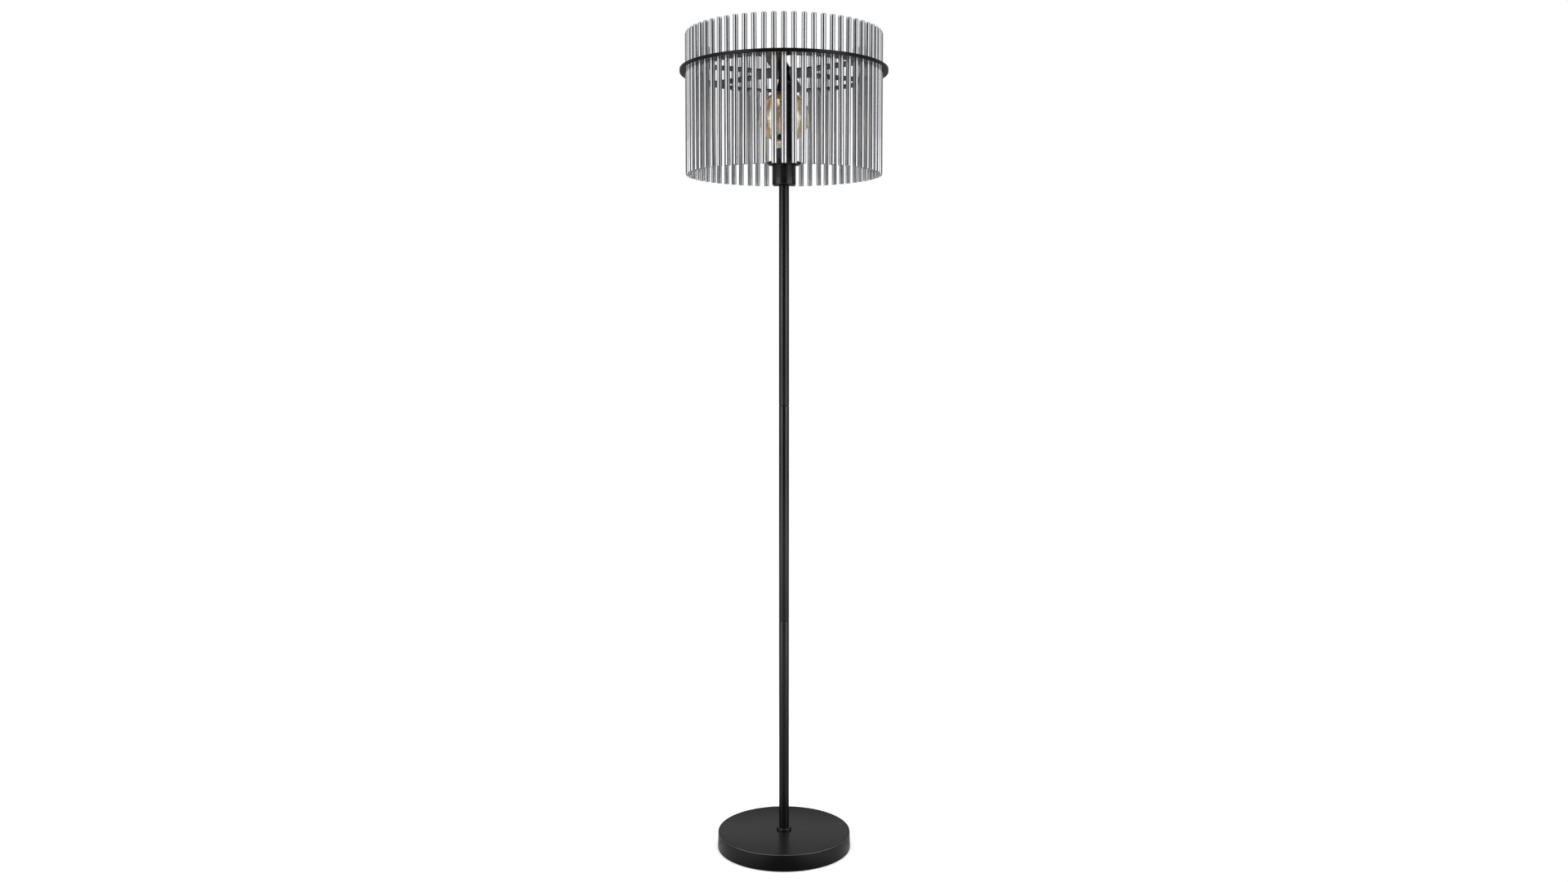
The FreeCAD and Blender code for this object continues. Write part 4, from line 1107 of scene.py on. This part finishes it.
class LAMP_OT_stage(Operator):
    """Camera, pale floor, white surroundings and soft studio light"""
    bl_idname = "lamp.stage"
    bl_label = "Stage"

    def execute(self, context):
        scene = context.scene
        scene.view_settings.view_transform = "Standard"
        self.camera(scene)
        self.floor(scene)
        self.surroundings(scene)
        self.cards(scene)
        self.lights(scene)
        return {"FINISHED"}

    def camera(self, scene):
        """Camera at the photograph's distance, height and tilt."""
        settings = scene.lamp_stage
        data = bpy.data.cameras.new("photo_camera")
        data.sensor_fit = "HORIZONTAL"
        data.sensor_width = 36.0
        data.lens = settings.focal_pixels / PHOTO_WIDTH * data.sensor_width
        data.clip_end = 60.0
        eye = bpy.data.objects.new("photo_camera", data)
        eye.location = (0.0, -settings.eye_distance, settings.eye_height)
        eye.rotation_euler = (math.radians(90.0) - settings.eye_pitch, 0.0, 0.0)
        scene.collection.objects.link(eye)
        scene.camera = eye

    def floor(self, scene):
        """Wide round floor whose lit part fades into plain white further out."""
        reach = 14.0
        least_light = 0.3
        fade_start = 0.45
        fade_end = 1.6
        material = bpy.data.materials.new("pale_floor")
        tree = bare_tree(material)
        output = shader_node(tree, "OutputMaterial")
        lit = shader_node(tree, "BsdfDiffuse", Color=(*scene.lamp_stage.floor_colour, 1.0))
        lift = shader_node(tree, "Emission", Strength=least_light)
        shown = shader_node(tree, "AddShader")
        tree.links.new(lit.outputs["BSDF"], shown.inputs[0])
        tree.links.new(lift.outputs["Emission"], shown.inputs[1])
        white = shader_node(tree, "Emission", Strength=1.0)
        distance = shader_node(tree, "VectorMath")
        distance.operation = "LENGTH"
        tree.links.new(shader_node(tree, "TexCoord").outputs["Object"], distance.inputs[0])
        fade = shader_node(tree, "MapRange", From_Min=fade_start, From_Max=fade_end)
        fade.interpolation_type = "SMOOTHSTEP"
        tree.links.new(distance.outputs["Value"], fade.inputs["Value"])
        share = fade.outputs["Result"]
        faded = mixed_shaders(tree, share, shown.outputs["Shader"], white.outputs["Emission"])
        final = backdrop_switch(tree, faded, lit.outputs["BSDF"])
        tree.links.new(final, output.inputs["Surface"])
        stage_object(scene, "floor", disc(reach, 0.0), material)

    def surroundings(self, scene):
        """White all round, softer as light than it looks."""
        world = bpy.data.worlds.new("white_studio")
        scene.world = world
        tree = bare_tree(world)
        output = shader_node(tree, "OutputWorld")
        soft = shader_node(tree, "Background", Color=WHITE, Strength=scene.lamp_stage.fill)
        plain = shader_node(tree, "Background", Color=WHITE)
        final = backdrop_switch(tree, plain.outputs["Background"], soft.outputs["Background"])
        tree.links.new(final, output.inputs["Surface"])

    def cards(self, scene):
        """Studio cards that only reflections see, with white openings left and right of the lamp's front.

        They draw the dark middle line and the grey edges on the rods, and the two light bands on the pole.
        Each card has an arc in degrees, a lower and upper end, and (share of the height, tone) steps.
        """
        low = (0.0, SCREEN_TOP)
        high = (SCREEN_TOP, CARD_HEIGHT)
        whole = (0.0, CARD_HEIGHT)
        front = ((0.0, 0.01), (1.0, 0.02))
        opening = ((0.0, 2.4), (0.06, 1.9), (0.12, 1.1), (0.18, 2.3), (0.23, 3.0), (0.3, 2.5), (0.36, 1.5))
        high_opening = ((0.38, 1.35), (1.0, 1.3))
        side = ((0.0, 0.06), (0.38, 0.1))
        high_side = ((0.38, 0.15), (0.5, 0.32))
        behind = ((0.0, 0.04), (0.21, 0.06), (0.28, 0.08), (0.31, 0.44), (0.38, 0.46), (0.5, 0.22),
                  (1.0, 0.3))
        straight_behind = ((0.0, 0.04), (0.22, 0.06), (0.25, 0.42), (0.29, 0.52), (0.33, 0.32),
                           (0.38, 0.26), (0.5, 0.22), (1.0, 0.3))
        self.bent_card(scene, "black_card_front", (-32.0, 32.0), whole, front)
        for name, arc, rise, tones in (
            ("softbox_card", (35.0, 84.0), low, opening),
            ("high_softbox_card", (35.0, 68.0), high, high_opening),
            ("side_card", (84.0, 140.0), low, side),
            ("high_card", (68.0, 140.0), high, high_side),
            ("grey_card_back", (140.0, 168.0), whole, behind),
        ):
            self.bent_card(scene, name + "_right", arc, rise, tones)
            self.bent_card(scene, name + "_left", (-arc[1], -arc[0]), rise, tones)
        self.bent_card(scene, "grey_card_back", (168.0, 192.0), whole, straight_behind)
        self.flat_card(scene, "grey_card_above", disc(CARD_DISTANCE, CARD_HEIGHT), ((0.0, 0.1), (1.0, 0.3)))
        self.softbox_above(scene)
        self.floor_cards(scene)

    def softbox_above(self, scene):
        """Two bright rectangles overhead, with a dark gap between them in line with the pole."""
        gap = 0.12
        reach = 2.2
        near = -0.35
        far = -2.9
        drop = 0.05
        hung = CARD_HEIGHT - drop
        made = bmesh.new()
        for side in (-1.0, 1.0):
            corners = ((side * gap, near), (side * reach, near), (side * reach, far), (side * gap, far))
            made.faces.new([made.verts.new((x, y, hung)) for x, y in corners])
        tone = 1.2
        self.flat_card(scene, "softbox_card_above", made, ((0.0, tone), (1.0, tone)))

    def floor_cards(self, scene):
        """Half discs just above the floor, seen only in reflections: painted shade of the floor in line
        with the lamp, brighter towards the sides.
        """
        steps = 48
        height = 0.2 * MM
        # Painted shade: the tones run dark in a strip in line with the lamp, where the floor seen in the
        # lamp's reflections is shaded.
        in_front = ((0.0, 0.03), (0.01, 0.04), (0.045, 0.42), (0.1, 0.38), (0.24, 0.7), (0.45, 1.1),
                    (0.6, 1.7), (1.0, 2.0))
        behind = ((0.0, 0.03), (0.01, 0.04), (0.045, 0.3), (0.25, 0.2), (1.0, 0.3))
        for name, start, tones in (
            ("dark_card_floor", -90.0, in_front),
            ("dark_card_floor_back", 90.0, behind),
        ):
            made = bmesh.new()
            rim = [on_card_circle(start + 180.0 * step / steps, height) for step in range(steps + 1)]
            made.faces.new([made.verts.new(point) for point in rim])
            self.flat_card(scene, name, made, tones)

    def flat_card(self, scene, name, made, tones):
        """Level card whose tones run from the middle out to the left and the right."""
        self.card(scene, name, made, "X", CARD_DISTANCE, tones)

    def bent_card(self, scene, name, arc, rise, tones):
        """Upright card on a wide arc round the lamp; angles in degrees, counted from the front."""
        steps = 32
        made = bmesh.new()
        columns = []
        for step in range(steps + 1):
            degrees = arc[0] + (arc[1] - arc[0]) * step / steps
            columns.append([made.verts.new(on_card_circle(degrees, height)) for height in rise])
        for column, neighbour in zip(columns, columns[1:]):
            made.faces.new((column[0], neighbour[0], neighbour[1], column[1]))
        self.card(scene, name, made, "Z", CARD_HEIGHT, tones)

    def card(self, scene, name, made, axis, reach, tones):
        """Card whose tone follows the distance from the origin along one axis."""
        material = bpy.data.materials.new(name)
        tree = bare_tree(material)
        output = shader_node(tree, "OutputMaterial")
        glow = shader_node(tree, "Emission", Strength=BRIGHTEST)
        place = shader_node(tree, "TexCoord").outputs["Object"]
        share = math_node(tree, "DIVIDE", math_node(tree, "ABSOLUTE", split_of(tree, place, axis)), reach)
        tone = shader_node(tree, "ValToRGB")
        ramp = tone.color_ramp
        for _ in tones[2:]:
            ramp.elements.new(0.5)
        for element, (position, grey) in zip(ramp.elements, tones):
            element.position = position
            share_of_white = grey / BRIGHTEST
            element.color = (share_of_white, share_of_white, share_of_white, 1.0)
        tree.links.new(share, tone.inputs["Fac"])
        tree.links.new(tone.outputs["Color"], glow.inputs["Color"])
        tree.links.new(glow.outputs["Emission"], output.inputs["Surface"])
        card = stage_object(scene, name, made, material)
        card.visible_camera = False
        card.visible_diffuse = False
        card.visible_transmission = False
        card.visible_volume_scatter = False
        card.visible_shadow = False

    def lights(self, scene):
        """Two tall softboxes beside the lamp and one above."""
        for name, place, aim, width, height, power in (
            ("softbox_left", (-1.7, -0.9, 1.0), (0.0, 0.0, 1.0), 1.3, 2.0, 13.9),
            ("softbox_right", (1.7, -0.9, 1.0), (0.0, 0.0, 1.0), 1.3, 2.0, 13.9),
            ("softbox_top", (0.0, -0.5, 3.0), (0.0, 0.0, 0.6), 1.6, 1.6, 34.0),
        ):
            data = bpy.data.lights.new(name, "AREA")
            data.shape = "RECTANGLE"
            data.size = width
            data.size_y = height
            data.energy = power
            lamp = bpy.data.objects.new(name, data)
            lamp.location = place
            lamp.rotation_euler = (Vector(aim) - Vector(place)).to_track_quat("-Z", "Y").to_euler()
            lamp.visible_camera = False
            lamp.visible_glossy = False
            scene.collection.objects.link(lamp)


class LAMP_PT_panel(Panel):
    """Steps that dress the lamp, in order"""
    bl_idname = "LAMP_PT_panel"
    bl_label = "Rod Cage Lamp"
    bl_space_type = "VIEW_3D"
    bl_region_type = "UI"
    bl_category = "Lamp"

    def draw(self, context):
        for step in STEPS:
            self.layout.operator(step.bl_idname)
        for name in SETTINGS:
            group = getattr(context.scene, name)
            column = self.layout.column(heading=name.replace("_", " "))
            for key in group.bl_rna.properties.keys():
                if key not in ("rna_type", "name"):
                    column.prop(group, key)


SETTINGS = {
    "lamp_base": LampBaseSettings,
    "lamp_pole": LampPoleSettings,
    "lamp_rods": LampRodSettings,
    "lamp_bulb": LampBulbSettings,
    "lamp_finish": LampFinishSettings,
    "lamp_stage": LampStageSettings,
}
STEPS = (
    LAMP_OT_base,
    LAMP_OT_pole,
    LAMP_OT_cup,
    LAMP_OT_lampholder,
    LAMP_OT_carrier,
    LAMP_OT_rods,
    LAMP_OT_bulb,
    LAMP_OT_stage,
)


def register():
    """Adds the settings and steps to the session."""
    for name, group in SETTINGS.items():
        bpy.utils.register_class(group)
        setattr(bpy.types.Scene, name, PointerProperty(type=group))
    for step in STEPS:
        bpy.utils.register_class(step)
    bpy.utils.register_class(LAMP_PT_panel)


def unregister():
    """Takes the settings and steps out again."""
    bpy.utils.unregister_class(LAMP_PT_panel)
    for step in reversed(STEPS):
        bpy.utils.unregister_class(step)
    for name, group in SETTINGS.items():
        delattr(bpy.types.Scene, name)
        bpy.utils.unregister_class(group)


def main():
    """Registers the add-on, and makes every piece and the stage."""
    register()
    bpy.ops.lamp.base()
    bpy.ops.lamp.pole()
    bpy.ops.lamp.cup()
    bpy.ops.lamp.lampholder()
    bpy.ops.lamp.carrier()
    bpy.ops.lamp.rods()
    bpy.ops.lamp.bulb()
    bpy.ops.lamp.stage()


if __name__ == "__main__":
    main()
